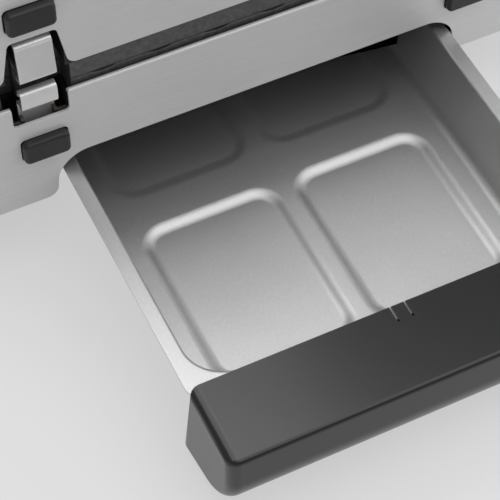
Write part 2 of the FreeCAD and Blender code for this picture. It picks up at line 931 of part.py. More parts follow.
def lower_plate():
    body = grill_plate("lower_plate", s.deck_top, s.plate_top, True)
    pad(body, "XY", s.spout_z, s.deck_top, (0, s.drain_y, drain_outer()))
    pocket(body, "XY", s.spout_z - 1, s.plate_top, (0, s.drain_y, s.drain_radius))
    tongue_z = s.deck_top + s.plates_apart * 2
    for side in (-1, 1):
        x_low, x_high = in_order(side * s.tongue_x, side * (s.tongue_x + s.tongue_width))
        tongue = rounded(
            s.plate_back - 1, s.plate_back + s.tongue_reach, tongue_z, tongue_z + s.tongue_thick
        )
        pad(body, "YZ", x_low, x_high, tongue)
    rise = s.scallop_radius - s.scallop_depth
    scallops = [
        (s.rib_pitch * (-1.5 + 2 * step), s.plate_top + rise, s.scallop_radius)
        for step in range(-2, 4)
    ]
    pocket(body, "XZ", s.plate_front - 1, s.plate_front + s.plate_lip + 1, *scallops)
    return finish(body)


def upper_plate():
    low = s.plate_top + s.plates_apart
    return finish(grill_plate("upper_plate", low, s.lid_ring_z - s.plates_apart, False))


def reflector(name, flange_z, down):
    """A sheet pan whose flange meets the frame's ring; the pan hangs down or stands up."""
    body = new_body(name)
    thick = s.reflector_sheet
    sign = -1 if down else 1
    rim = s.reflector_rim
    flange = in_order(flange_z, flange_z + sign * thick)
    floor = in_order(flange_z + sign * (s.reflector_depth + thick), flange_z + sign * thick)
    pad(
        body, "XY", *flange,
        rounded(
            -s.reflector_half - rim, s.reflector_half + rim,
            s.reflector_front - rim + 2, s.reflector_back + rim,
        ),
    )
    pad(
        body, "XY", *floor,
        rounded(-s.reflector_half, s.reflector_half, s.reflector_front, s.reflector_back),
    )
    inner = s.reflector_half - thick
    hollow = in_order(flange_z - sign, flange_z + sign * s.reflector_depth)
    pocket(
        body, "XY", *hollow,
        rounded(-inner, inner, s.reflector_front + thick, s.reflector_back - thick),
    )
    return finish(body)


def heating_element(name, z):
    """A flattened sheathed tube laid as one loop, both ends on the right."""
    body = new_body(name)
    half = s.tube_half
    lead = half + s.tube_lead
    near, far = s.tube_front, s.tube_back
    wide = s.tube_radius
    outer = s.tube_bend
    inner = outer - wide * 2 * (2 - math.sqrt(2))
    loop = [
        (lead, near - wide), (outer - half - wide, near - wide), (-half - wide, near - wide + outer),
        (-half - wide, far + wide - outer), (outer - half - wide, far + wide), (lead, far + wide),
        (lead, far - wide), (inner - half + wide, far - wide), (wide - half, far - wide - inner),
        (wide - half, near + wide + inner), (inner - half + wide, near + wide), (lead, near + wide),
    ]
    pad(body, "XY", z - wide, z + wide, loop)
    return finish(body)


def element_cradles(name, floor_z, tube_z):
    """Four forked brackets between a reflector's floor and the tube."""
    cradles = []
    for _, side in SIDES:
        for y in (s.tube_front, s.tube_back):
            x = side * s.cradle_x
            thick = s.cradle_thick / 2
            wide = s.cradle_width / 2
            gap = s.tube_radius + s.fit
            block = box((x - thick, x + thick), (y - wide, y + wide), (floor_z, tube_z))
            groove = box(
                (x - thick * 2, x + thick * 2), (y - gap, y + gap), (tube_z - gap, tube_z + gap)
            )
            cradles.append(less(block, groove))
    return finish(gathered(*cradles), name)


def thermal_fuse():
    floor = s.deck_top - s.ring_thick - s.fit / 3 - s.reflector_sheet - s.reflector_depth
    half = s.fuse_length / 2
    tall = s.fuse_height
    y = s.reflector_back / 2
    case = box((-half, half), (y - tall / 2, y + tall / 2), (floor - tall - s.fit, floor - s.fit))
    return finish(gathered(case), "thermal_fuse")


# Latches: a button pushes the lower or upper end of a sprung rocking clip


def latch_housing(name, side, low, high, pivot_z):
    """A moulded channel, open to the front, whose square seats carry the clip's stub pins."""
    body = new_body(name)
    x = side * s.latch_x
    outer = s.latch_inner + s.latch_wall
    front = s.sheet + s.fit
    back = s.latch_back + s.latch_wall
    plan = [
        (x - outer, front), (x - s.latch_inner, front), (x - s.latch_inner, s.latch_back),
        (x + s.latch_inner, s.latch_back), (x + s.latch_inner, front), (x + outer, front),
        (x + outer, back), (x - outer, back),
    ]
    pad(body, "XY", low, high, plan)
    bore = s.pin_radius + s.pin_clearance
    pocket(body, "YZ", x - outer - 1, x + outer + 1, square(s.pivot_y, pivot_z, bore))
    return finish(body)


def latch_spring(name, side, button_z, pivot_z):
    """A leaf spring from the housing's back wall to the clip, level with the button."""
    body = new_body(name)
    x = side * s.latch_x
    towards = 1 if button_z.value > pivot_z.value else -1
    back = s.latch_back - s.pin_clearance
    tip = s.strip_y + s.clip_sheet + s.pin_clearance
    thick = s.spring_sheet
    root = pivot_z - towards * s.ear_half
    bend = pivot_z + towards * s.ear_half
    end = button_z + towards * s.ear_half / 2
    profile = [
        (back, root), (back, bend), (tip + thick, button_z), (tip + thick, end),
        (tip, end), (tip, button_z), (back - thick, bend), (back - thick, root),
    ]
    half = s.clip_width / 4
    pad(body, "YZ", x - half, x + half, profile)
    return finish(body)


def clip_ears(body, x, pivot_z):
    """Two ears and the stub pins riveted in them, which turn in the housing's walls."""
    reach = s.latch_inner + s.latch_wall
    for ear in (-1, 1):
        outer = x + ear * s.clip_width / 2
        inner = x + ear * (s.clip_width / 2 - s.clip_sheet)
        profile = rounded(
            s.pivot_y - s.ear_half / 2, s.strip_y, pivot_z - s.ear_half, pivot_z + s.ear_half
        )
        pad(body, "YZ", *in_order(inner, outer), profile)
        pad(body, "YZ", *in_order(inner, x + ear * reach), (s.pivot_y, pivot_z, s.pin_radius))


def lower_clip(name, side):
    """A bent strip: pressed at its foot, it swings the lip of its hook out off the plate's tab."""
    body = new_body(f"lower_clip_{name}")
    x = side * s.latch_x
    half = s.clip_width / 2
    thick = s.clip_sheet
    front = -s.hook_front
    rear = s.strip_y + thick
    foot = s.button_low - s.hook_reach
    profile = [
        (s.strip_y, foot), (s.strip_y, s.hook_bottom),
        (front, s.hook_bottom, thick), (front, s.hook_top, thick * 1.4),
        (s.hook_reach, s.hook_top), (s.hook_reach, s.hook_lip_z),
        (s.hook_reach - thick, s.hook_lip_z), (s.hook_reach - thick, s.hook_top - thick),
        (front + thick, s.hook_top - thick), (front + thick, s.hook_bottom + thick),
        (rear, s.hook_bottom + thick), (rear, foot),
    ]
    pad(body, "YZ", x - half, x + half, profile)
    clip_ears(body, x, s.pivot_low)
    return finish(body)


def upper_clip(name, side):
    """The longer clip of the lid: its hood leans out and its lip holds the plate from below."""
    body = new_body(f"upper_clip_{name}")
    x = side * s.latch_x
    half = s.clip_width / 2
    thick = s.clip_sheet
    front = -s.hook_front
    rear = s.strip_y + thick
    head = s.button_high + s.hook_reach + thick
    toe = front - s.hood_tilt
    profile = [
        (s.strip_y, head), (s.strip_y, s.fold_z), (front, s.fold_z, thick * 1.6),
        (toe, s.hood_bottom), (s.hook_reach - 1, s.hood_bottom),
        (s.hook_reach - 1, s.hood_bottom + thick), (toe + thick, s.hood_bottom + thick),
        (front + thick, s.fold_z - thick), (rear, s.fold_z - thick), (rear, head),
    ]
    pad(body, "YZ", x - half, x + half, profile)
    clip_ears(body, x, s.pivot_high)
    return finish(body)


def release_button(name, side, z):
    """A capped button whose low stem meets the tilting clip along one line."""
    body = new_body(name)
    x = side * s.latch_x
    wide = s.button_width / 2
    tall = s.button_height / 2
    corner = s.button_radius
    proud = s.button_travel + s.button_stays
    face = faceted(x - wide, x + wide, z - tall, z + tall, corner, 1)
    pad(body, "XZ", -proud, s.button_flange, face)
    bevel_edges(body, corner / 2, lambda edge: lies_at(edge, "Y", -proud))
    lip = s.button_gap * 3
    pad(
        body, "XZ", s.button_flange, s.button_flange + s.clip_sheet,
        rounded(x - wide - lip, x + wide + lip, z - tall - lip, z + tall + lip),
    )
    stem = s.stem_height / 2
    pad(
        body, "XZ", s.button_flange + s.clip_sheet, s.strip_y - s.fit,
        rounded(x - wide / 2, x + wide / 2, z - stem, z + stem),
    )
    return finish(body)


# Drip drawer


def loft(body, kind, *sections):
    """A straight loft through outlines at given heights; kind is Additive or Subtractive."""
    sketches = [add_sketch(body, "XY", z, [shape]) for z, shape in sections]
    feature = body.newObject(f"PartDesign::{kind}Loft", f"{body.Name}_loft")
    feature.Profile = sketches[0]
    feature.Sections = sketches[1:]
    feature.Ruled = True
    return feature


def tray_well(grow):
    """The tray's well in plan at its rim, drawn out by grow."""
    half = s.tray_half - s.rim_width + grow
    front = s.handle_gap - grow
    back = s.tray_length - s.rim_lap - s.rim_width + grow
    return faceted(-half, half, front, back, s.tray_corner + grow, 4)


def tray_sections(foot, rim, grow):
    """Outlines of a drafted well from its bevelled foot up to its rim."""
    lifted = s.tray_draft * (s.rim_z - foot - s.floor_bevel) / (s.rim_z - foot)
    return (
        (foot, tray_well(grow - s.tray_draft - s.floor_bevel)),
        (foot + s.floor_bevel, tray_well(grow - lifted)),
        (rim, tray_well(grow)),
    )


def drip_tray():
    """A deep-drawn tray: flat rim, drafted walls and four sunk panels in its floor."""
    body = new_body("drip_tray")
    lap = s.rim_lap
    rim_low = s.rim_z - s.tray_sheet
    under = s.tray_floor_z - s.tray_sheet
    rim = rounded(-s.tray_half, s.tray_half, -lap, s.tray_length - lap, s.tray_corner)
    pad(body, "XY", rim_low, s.rim_z, rim)
    loft(body, "Additive", *tray_sections(under, rim_low, s.tray_sheet))
    loft(body, "Subtractive", *tray_sections(s.tray_floor_z, s.rim_z, 0))
    for side in (-1, 1):
        for row in (0, 1):
            front = s.pad_front + (s.pad_length + s.pad_gap) * row
            x_low, x_high = in_order(side * s.pad_inner_x, side * s.pad_outer_x)
            back = front + s.pad_length
            slope = s.pad_slope
            foot = s.tray_floor_z - s.pad_depth
            under_lap = s.tray_sheet / 2
            loft(
                body, "Additive",
                (
                    under,
                    rounded(
                        x_low - under_lap, x_high + under_lap, front - under_lap, back + under_lap
                    ),
                ),
                (
                    foot - s.tray_sheet,
                    rounded(x_low + slope, x_high - slope, front + slope, back - slope),
                ),
            )
            corner = s.pad_corner
            loft(
                body, "Subtractive",
                (s.tray_floor_z, faceted(x_low, x_high, front, back, corner, 3)),
                (
                    foot,
                    faceted(
                        x_low + slope, x_high - slope, front + slope, back - slope,
                        corner - slope, 3,
                    ),
                ),
            )
    return finish(body, drawn_out=s.drawn_out + s.handle_gap)


def tray_handle():
    """A moulded grip the width of the tray; its belly is one large curve under the front."""
    body = new_body("tray_handle")
    front = -s.handle_depth
    profile = [
        (sized(0), s.handle_top), (front + 0.5, s.handle_top, s.handle_skin * 1.5),
        (front, s.handle_bottom + s.handle_rise, s.handle_belly),
        (s.handle_lean, s.handle_bottom),
    ]
    half = s.tray_half
    pad(body, "YZ", -half, half, profile)
    rear = -s.handle_skin

    def on_end_outline(edge):
        at_end = lies_at(edge, "X", half) or lies_at(edge, "X", -half)
        return at_end and (edge.BoundBox.YMin < rear.value - 1)

    bevel_edges(body, s.handle_end_bevel, on_end_outline)
    cheek = half - s.handle_cheek
    pocket(
        body, "XZ", -s.handle_pocket, s.handle_lean + 1,
        rounded(-cheek, cheek, s.tray_floor_z - s.tray_sheet - s.fit, s.handle_top - s.handle_skin),
    )
    slots = [
        rounded(x - s.tab_slot / 2, x + s.tab_slot / 2, -s.tab_length, 1)
        for x in (-s.tab_half, s.tab_half)
    ]
    pocket(body, "XY", s.handle_top - s.handle_skin - 1, s.handle_top + 1, *slots)
    return finish(body, drawn_out=s.drawn_out + s.handle_gap)


# Lid hinge: the pin's square ends rise in slots, so that the lid can float on thick food


def hinge_bracket(name, side):
    body = new_body(f"hinge_bracket_{name}")
    x = side * s.bracket_x
    y_low = s.hinge_y - s.bracket_depth / 2
    y_high = s.hinge_y + s.bracket_depth / 2
    top = s.lid_z + s.float_travel + s.hinge_pin * 2
    half = s.bracket_half
    inner = half - s.bracket_plate
    web = s.flange_top + s.bracket_plate
    channel = [
        (x - half, s.flange_top), (x + half, s.flange_top), (x + half, top), (x + inner, top),
        (x + inner, web), (x - inner, web), (x - inner, top), (x - half, top),
    ]
    pad(body, "XZ", y_low, y_high, channel)
    flat = s.hinge_pin + s.fit
    slot = rounded(
        s.hinge_y - flat, s.hinge_y + flat,
        s.lid_z - flat, s.lid_z + s.float_travel + flat,
    )
    pocket(body, "YZ", x - half - 1, x + half + 1, slot)
    return finish(body)


def hinge_pin(name, side):
    """A round pin for the lid's arm, squared at both ends to slide in the bracket's slots."""
    x = side * s.bracket_x
    round_half = s.bracket_half - s.bracket_plate - s.fit
    middle = cylinder(
        "x", (x - round_half, x + round_half), (s.hinge_y, s.lid_z), s.hinge_pin
    )
    flats = [
        box(
            in_order(x + end * round_half, x + end * s.bracket_half),
            (s.hinge_y - s.hinge_pin, s.hinge_y + s.hinge_pin),
            (s.lid_z - s.hinge_pin, s.lid_z + s.hinge_pin),
        )
        for end in (-1, 1)
    ]
    return finish(joined(middle, *flats), f"hinge_pin_{name}")


def hinge_arm(name, side):
    body = new_body(f"hinge_arm_{name}")
    x = side * s.bracket_x
    seat = s.lid_ring_z + s.ring_thick
    eye = s.eye_radius
    flat = eye * math.tan(math.pi / 8)
    shoulder = eye * 0.6
    rear = s.hinge_y + eye
    top = seat + s.arm_thick
    profile = [
        (s.arm_front, seat), (s.hinge_notch_front, seat), (s.hinge_y - flat, s.lid_z - eye),
        (s.hinge_y + flat, s.lid_z - eye), (rear, s.lid_z - flat), (rear, top - shoulder),
        (rear - shoulder, top), (s.arm_front + s.bracket_plate, top),
        (s.arm_front, top - s.bracket_plate),
    ]
    pad(body, "YZ", x - s.arm_half, x + s.arm_half, profile)
    bore = s.hinge_pin + s.pin_clearance
    pocket(body, "YZ", x - s.arm_half - 1, x + s.arm_half + 1, (s.hinge_y, s.lid_z, bore))
    return finish(body)


# Lid handle


def handle_arm(name, side):
    """A side arm that leans forward from the lid's flank to the grip above its front edge."""
    body = new_body(f"handle_arm_{name}")
    root = s.arm_root_radius
    reach = s.grip_radius + 3
    profile = [
        (s.arm_root_y + root, s.arm_root_z - root, root * 0.9),
        (s.arm_root_y + root, s.arm_root_z + root, root),
        (s.grip_y + reach, s.grip_z + reach, reach * 0.8),
        (s.grip_y - reach, s.grip_z + reach, reach * 0.9),
        (s.grip_y - reach, s.grip_z - reach, reach),
        (s.arm_root_y - root, s.arm_root_z - root, root * 0.9),
    ]
    low, high = in_order(side * half_width, side * (half_width + s.arm_plate))
    pad(body, "YZ", low, high, profile)
    for y, z in arm_screws():
        sink_low, sink_high = in_order(
            side * (half_width + s.arm_plate - s.screw_head_thick - 1),
            side * (half_width + s.arm_plate + 1),
        )
        pocket(body, "YZ", sink_low, sink_high, polygon(y, z, s.screw_head + s.fit * 2))
        hole_low, hole_high = in_order(side * (half_width - 1), side * (half_width + s.arm_plate))
        pocket(body, "YZ", hole_low, hole_high, polygon(y, z, s.screw_reach + s.pin_clearance))
    return finish(body)


def handle_grip():
    body = new_body("handle_grip")
    radius = s.grip_radius
    section = rounded(
        s.grip_y - radius, s.grip_y + radius, s.grip_z - radius, s.grip_z + radius, radius * 0.85
    )
    pad(body, "YZ", -half_width, half_width, section)
    return finish(body)


def handle_screws():
    screws = []
    for _, side in SIDES:
        outside = side * (half_width + s.arm_plate - 1)
        seat = side * (half_width + s.arm_plate - s.screw_head_thick - 1)
        inside = side * (half_width - s.sheet * 3)
        for across in arm_screws():
            head = hex_rod("x", (seat, outside), across, s.screw_head)
            shank = hex_rod("x", (inside, seat), across, s.screw_reach)
            screws.append(joined(head, shank))
    return finish(gathered(*screws), "handle_screws")


# Control, lamps, inlet and terminal block on the right and at the back


def thermostat():
    body = new_body("thermostat")
    wall = half_width - s.chassis_side - s.chassis_wall
    half = s.thermostat_size / 2
    tall = s.thermostat_height / 2
    case = rounded(s.knob_y - half, s.knob_y + half, s.knob_z - tall, s.knob_z + tall)
    pad(body, "YZ", wall - s.thermostat_size * 0.7, wall, case)
    bush = wall + s.chassis_wall + s.spindle_radius
    pad(body, "YZ", wall, bush, square(s.knob_y, s.knob_z, s.spindle_radius * 1.35))
    bore = s.spindle_radius + s.pin_clearance
    blind_end = half_width + s.knob_length / 2 - s.spindle_length - s.fit
    pocket(body, "YZ", blind_end, bush + 1, square(s.knob_y, s.knob_z, bore))
    return finish(body)


def thermostat_spindle():
    end = half_width + s.knob_length / 2
    rod = cylinder("x", (end - s.spindle_length, end), (s.knob_y, s.knob_z), s.spindle_radius)
    return finish(gathered(rod), "thermostat_spindle")


def thermostat_knob():
    """A twelve-sided skirt with a raised finger bar across it."""
    body = new_body("thermostat_knob")
    skirt = s.knob_length * 0.35
    start = half_width + s.fit
    pad(body, "YZ", start, start + skirt, polygon(s.knob_y, s.knob_z, s.knob_radius, 12))
    bar = s.knob_radius * 0.32
    reach = s.knob_radius * 0.96
    pad(
        body, "YZ", start + skirt, start + s.knob_length,
        faceted(s.knob_y - bar, s.knob_y + bar, s.knob_z - reach, s.knob_z + reach, bar * 0.6, 1),
    )
    bore = s.spindle_radius + s.pin_clearance
    depth_end = half_width + s.knob_length / 2 + s.fit
    pocket(body, "YZ", half_width, depth_end, square(s.knob_y, s.knob_z, bore))
    return finish(body)


def lamp(name, y):
    """A moulded lens: a stem through the wall behind a wider bevelled face."""
    body = new_body(name)
    inside = half_width - s.chassis_side - s.chassis_wall
    face = half_width + s.lamp_proud
    pad(body, "YZ", inside, half_width, lamp_outline(y, 0))
    pad(body, "YZ", half_width, face, lamp_outline(y, s.lamp_proud))
    bevel_edges(body, s.lamp_proud / 2, lambda edge: lies_at(edge, "X", face))
    return finish(body)


def power_inlet():
    """A three-pole appliance inlet let into the back."""
    body = new_body("power_inlet")
    outside = depth + s.inlet_flange
    pad(body, "XZ", outside - s.inlet_depth, outside, inlet_outline(0))
    pad(body, "XZ", depth, outside, inlet_outline(s.inlet_flange))
    wall = s.inlet_wall
    wide = s.inlet_width / 2 - wall
    tall = s.inlet_height / 2 - wall
    key = s.inlet_height / 5
    low, high = s.inlet_z - tall, s.inlet_z + tall
    socket = [
        (s.inlet_x - wide, low), (s.inlet_x + wide, low), (s.inlet_x + wide, high - key),
        (s.inlet_x + wide - key, high), (s.inlet_x - wide + key, high), (s.inlet_x - wide, high - key),
    ]
    pocket(body, "XZ", outside - s.inlet_depth + wall * 2, outside + 1, socket)
    return finish(body)


def inlet_pins():
    pins = []
    pitch = s.inlet_width / 4
    back = depth + s.inlet_flange
    for step, lift in ((-1, -1), (0, 1), (1, -1)):
        x = s.inlet_x + pitch * step
        z = s.inlet_z + s.inlet_wall * lift
        half = s.inlet_wall / 2
        pins.append(
            box(
                (x - half, x + half), (back - s.inlet_depth + s.inlet_wall * 2, back - s.inlet_flange),
                (z - half * 2, z + half * 2),
            )
        )
    return finish(gathered(*pins), "inlet_pins")


def terminal_block():
    body = new_body("terminal_block")
    floor = s.chassis_floor_z + s.chassis_wall
    x = -half_width + s.chassis_side + s.chassis_wall + s.inlet_height
    width = s.inlet_width / 2
    front = s.ring_back - width * 3
    block = rounded(x - width / 2, x + width / 2, front, s.ring_back)
    pad(body, "XY", floor, floor + width, block)
    ways = [
        square(s.ring_back - width * (0.6 + 0.9 * way), floor + width / 2, s.inlet_wall)
        for way in range(3)
    ]
    pocket(body, "YZ", x - width, x + width, *ways)
    return finish(body)


def build():
    base_shell()
    chassis()
    deck_frame()
    lid_shell()
    lid_frame()
    rubber_feet()
    chassis_screws()
    lower_plate()
    upper_plate()
    deck_under = s.deck_top - s.ring_thick - s.fit / 3
    lid_over = s.lid_ring_z + s.ring_thick + s.fit / 3
    reflector("lower_reflector", deck_under, True)
    reflector("upper_reflector", lid_over, False)
    lower_tube = s.deck_top - s.fit - s.tube_radius
    upper_tube = s.lid_ring_z + s.fit + s.tube_radius - s.plates_apart
    heating_element("lower_element", lower_tube)
    heating_element("upper_element", upper_tube)
    element_cradles("lower_cradles", deck_under - s.reflector_depth, lower_tube)
    element_cradles("upper_cradles", lid_over + s.reflector_depth, upper_tube)
    thermal_fuse()
    latch_low = (s.flange_top, s.deck_top - s.ring_thick, s.pivot_low)
    lid_seat = s.lid_ring_z + s.ring_thick
    latch_high = (lid_seat, s.button_high + s.button_height, s.pivot_high)
    for name, side in SIDES:
        drawer_rail(name, side)
        latch_housing(f"lower_latch_{name}", side, *latch_low)
        latch_housing(f"upper_latch_{name}", side, *latch_high)
        latch_spring(f"lower_spring_{name}", side, s.button_low, s.pivot_low)
        latch_spring(f"upper_spring_{name}", side, s.button_high, s.pivot_high)
        lower_clip(name, side)
        upper_clip(name, side)
        release_button(f"lower_button_{name}", side, s.button_low)
        release_button(f"upper_button_{name}", side, s.button_high)
        hinge_bracket(name, side)
        hinge_pin(name, side)
        hinge_arm(name, side)
        handle_arm(name, side)
    drip_tray()
    tray_handle()
    handle_grip()
    handle_screws()
    thermostat()
    thermostat_spindle()
    thermostat_knob()
    for name, y in zip(("power_lamp", "ready_lamp"), lamp_places()):
        lamp(name, y)
    power_inlet()
    inlet_pins()
    terminal_block()
    document.recompute()


def check():
    for item in document.Objects:
        if {"Invalid", "Error"} & set(item.State):
            raise RuntimeError(f"{item.Name} ({item.Label}): {item.State}")
    for piece in pieces:
        shape = piece.Shape
        if shape.isNull() or not shape.isValid() or not shape.Solids:
            raise RuntimeError(f"{piece.Label} has no valid solid")


def export():
    os.makedirs("parts", exist_ok=True)
    for piece in pieces:
        piece.Shape.exportStep(f"parts/{piece.Label}.step")


build()
check()
export()
print(f"{len(pieces)} pieces written")
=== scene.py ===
import bpy
import bmesh
import json
import math
from mathutils import Matrix, Vector


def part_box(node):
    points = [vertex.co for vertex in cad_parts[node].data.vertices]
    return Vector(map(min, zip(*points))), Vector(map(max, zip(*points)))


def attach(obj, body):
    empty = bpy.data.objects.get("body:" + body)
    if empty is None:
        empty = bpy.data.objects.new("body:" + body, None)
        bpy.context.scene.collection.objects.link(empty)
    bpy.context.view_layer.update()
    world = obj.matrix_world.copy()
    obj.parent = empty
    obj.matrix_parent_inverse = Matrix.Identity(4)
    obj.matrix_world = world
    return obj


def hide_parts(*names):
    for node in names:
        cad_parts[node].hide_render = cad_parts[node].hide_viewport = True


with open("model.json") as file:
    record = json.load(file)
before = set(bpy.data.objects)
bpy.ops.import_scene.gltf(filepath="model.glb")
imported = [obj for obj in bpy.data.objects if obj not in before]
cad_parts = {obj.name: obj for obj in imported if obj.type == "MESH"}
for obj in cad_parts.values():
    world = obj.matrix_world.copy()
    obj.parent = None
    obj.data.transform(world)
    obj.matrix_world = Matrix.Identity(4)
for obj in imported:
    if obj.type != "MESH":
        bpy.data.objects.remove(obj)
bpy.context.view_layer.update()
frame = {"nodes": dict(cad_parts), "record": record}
frontY = 0.064  # the front panels' face lies this far in front of the middle of the grill
print("frame loaded:", len(frame["nodes"]), "solids")


def place(x, y, z):  # millimetres from the middle of the front panel, at counter height
    return Vector((x / 1000, y / 1000 - frontY, z / 1000))


# colours and materials

def colour(code):
    parts = [int(code[i:i + 2], 16) / 255 for i in (1, 3, 5)]
    linear = [p / 12.92 if p <= 0.04045 else ((p + 0.055) / 1.055) ** 2.4 for p in parts]
    return (*linear, 1.0)


def addNode(tree, kind, settings=None, links=None):
    node = tree.nodes.new(kind)
    for name, value in (settings or {}).items():
        if name.startswith("in:"):
            node.inputs[int(name[3:]) if name[3:].isdigit() else name[3:]].default_value = value
        else:
            setattr(node, name, value)
    for socket, source in (links or {}).items():
        tree.links.new(source, node.inputs[int(socket) if socket.isdigit() else socket])
    return node


def newMaterial(name):
    made = bpy.data.materials.new(name)
    made.use_nodes = True
    tree = made.node_tree
    tree.nodes.clear()
    shader = addNode(tree, "ShaderNodeBsdfPrincipled")
    addNode(tree, "ShaderNodeOutputMaterial", links={"Surface": shader.outputs[0]})
    return made, tree, shader


toneEnds = (0.3, 0.7)  # where the darker and the lighter colour of a noise pattern begin


def setTones(ramp, look):
    for element, position, code in zip(ramp.color_ramp.elements, toneEnds, (look["dark"], look["light"])):
        element.position, element.color = position, colour(code)


def connect(tree, shader, tone, gloss, relief):
    for source, socket in ((tone, "Base Color"), (gloss, "Roughness"), (relief, "Normal")):
        tree.links.new(source.outputs[0], shader.inputs[socket])


def brushedSteel(name, look):
    # stainless sheet brushed with belts: the eye gets fine streaks along the grain and a wide, smeared gloss;
    # its metallic is set below 1, because the photographed sheet is an even pale grey that mirrors little
    made, tree, shader = newMaterial(name)
    where = addNode(tree, "ShaderNodeTexCoord")
    along = addNode(tree, "ShaderNodeMapping", {"in:Scale": look["grain"]}, {"Vector": where.outputs["Object"]})
    streaks = addNode(tree, "ShaderNodeTexNoise", {"in:Scale": 1000 / look["streakMm"], "in:Detail": 3},
                      {"Vector": along.outputs[0]})
    patches = addNode(tree, "ShaderNodeTexNoise", {"in:Scale": 1000 / look["patchMm"], "in:Detail": 2},
                      {"Vector": where.outputs["Object"]})
    both = addNode(tree, "ShaderNodeMix", {"data_type": "FLOAT", "in:0": 0.4},
                   {"2": streaks.outputs[0], "3": patches.outputs[0]})
    steel = addNode(tree, "ShaderNodeValToRGB", links={"0": both.outputs[0]})
    setTones(steel, look)
    gloss = addNode(tree, "ShaderNodeMapRange", {"in:3": look["rough"] - 0.03, "in:4": look["rough"] + 0.03},
                    {"0": streaks.outputs[0]})
    relief = addNode(tree, "ShaderNodeBump", {"in:Strength": look["bump"], "in:Distance": 0.00005},
                     {"Height": streaks.outputs[0]})
    connect(tree, shader, steel, gloss, relief)
    shader.inputs["Metallic"].default_value = look["metal"]
    return made


def moulded(name, look):
    # moulded plastic or rubber: the eye gets a fine even grain that breaks the highlight up slightly
    made, tree, shader = newMaterial(name)
    where = addNode(tree, "ShaderNodeTexCoord")
    grain = addNode(tree, "ShaderNodeTexNoise", {"in:Scale": 1000 / look["grainMm"], "in:Detail": 4},
                    {"Vector": where.outputs["Object"]})
    flow = addNode(tree, "ShaderNodeTexNoise", {"in:Scale": 1000 / 60, "in:Detail": 2},
                   {"Vector": where.outputs["Object"]})  # patches 60 mm across, as where the melt cooled
    tone = addNode(tree, "ShaderNodeValToRGB", links={"0": flow.outputs[0]})
    setTones(tone, look)
    gloss = addNode(tree, "ShaderNodeMapRange", {"in:3": look["rough"] - 0.04, "in:4": look["rough"] + 0.04},
                    {"0": grain.outputs[0]})
    relief = addNode(tree, "ShaderNodeBump", {"in:Strength": look["bump"], "in:Distance": 0.00008},
                     {"Height": grain.outputs[0]})
    connect(tree, shader, tone, gloss, relief)
    shader.inputs["IOR"].default_value = look["ior"]
    shader.inputs["Coat Weight"].default_value = look.get("coat", 0.0)
    shader.inputs["Coat Roughness"].default_value = 0.12
    return made


def metalSheet(name, look):
    # plated, rolled, cast or oxidised metal: the eye gets an even gloss with faint cloudy wear
    made, tree, shader = newMaterial(name)
    where = addNode(tree, "ShaderNodeTexCoord")
    cloud = addNode(tree, "ShaderNodeTexNoise", {"in:Scale": 1000 / look["cloudMm"], "in:Detail": 5},
                    {"Vector": where.outputs["Object"]})
    tone = addNode(tree, "ShaderNodeValToRGB", links={"0": cloud.outputs[0]})
    setTones(tone, look)
    gloss = addNode(tree, "ShaderNodeMapRange", {"in:3": look["rough"] - 0.04, "in:4": look["rough"] + 0.05},
                    {"0": cloud.outputs[0]})
    relief = addNode(tree, "ShaderNodeBump", {"in:Strength": look["bump"], "in:Distance": 0.0001},
                     {"Height": cloud.outputs[0]})
    connect(tree, shader, tone, gloss, relief)
    shader.inputs["Metallic"].default_value = look["metal"]
    return made


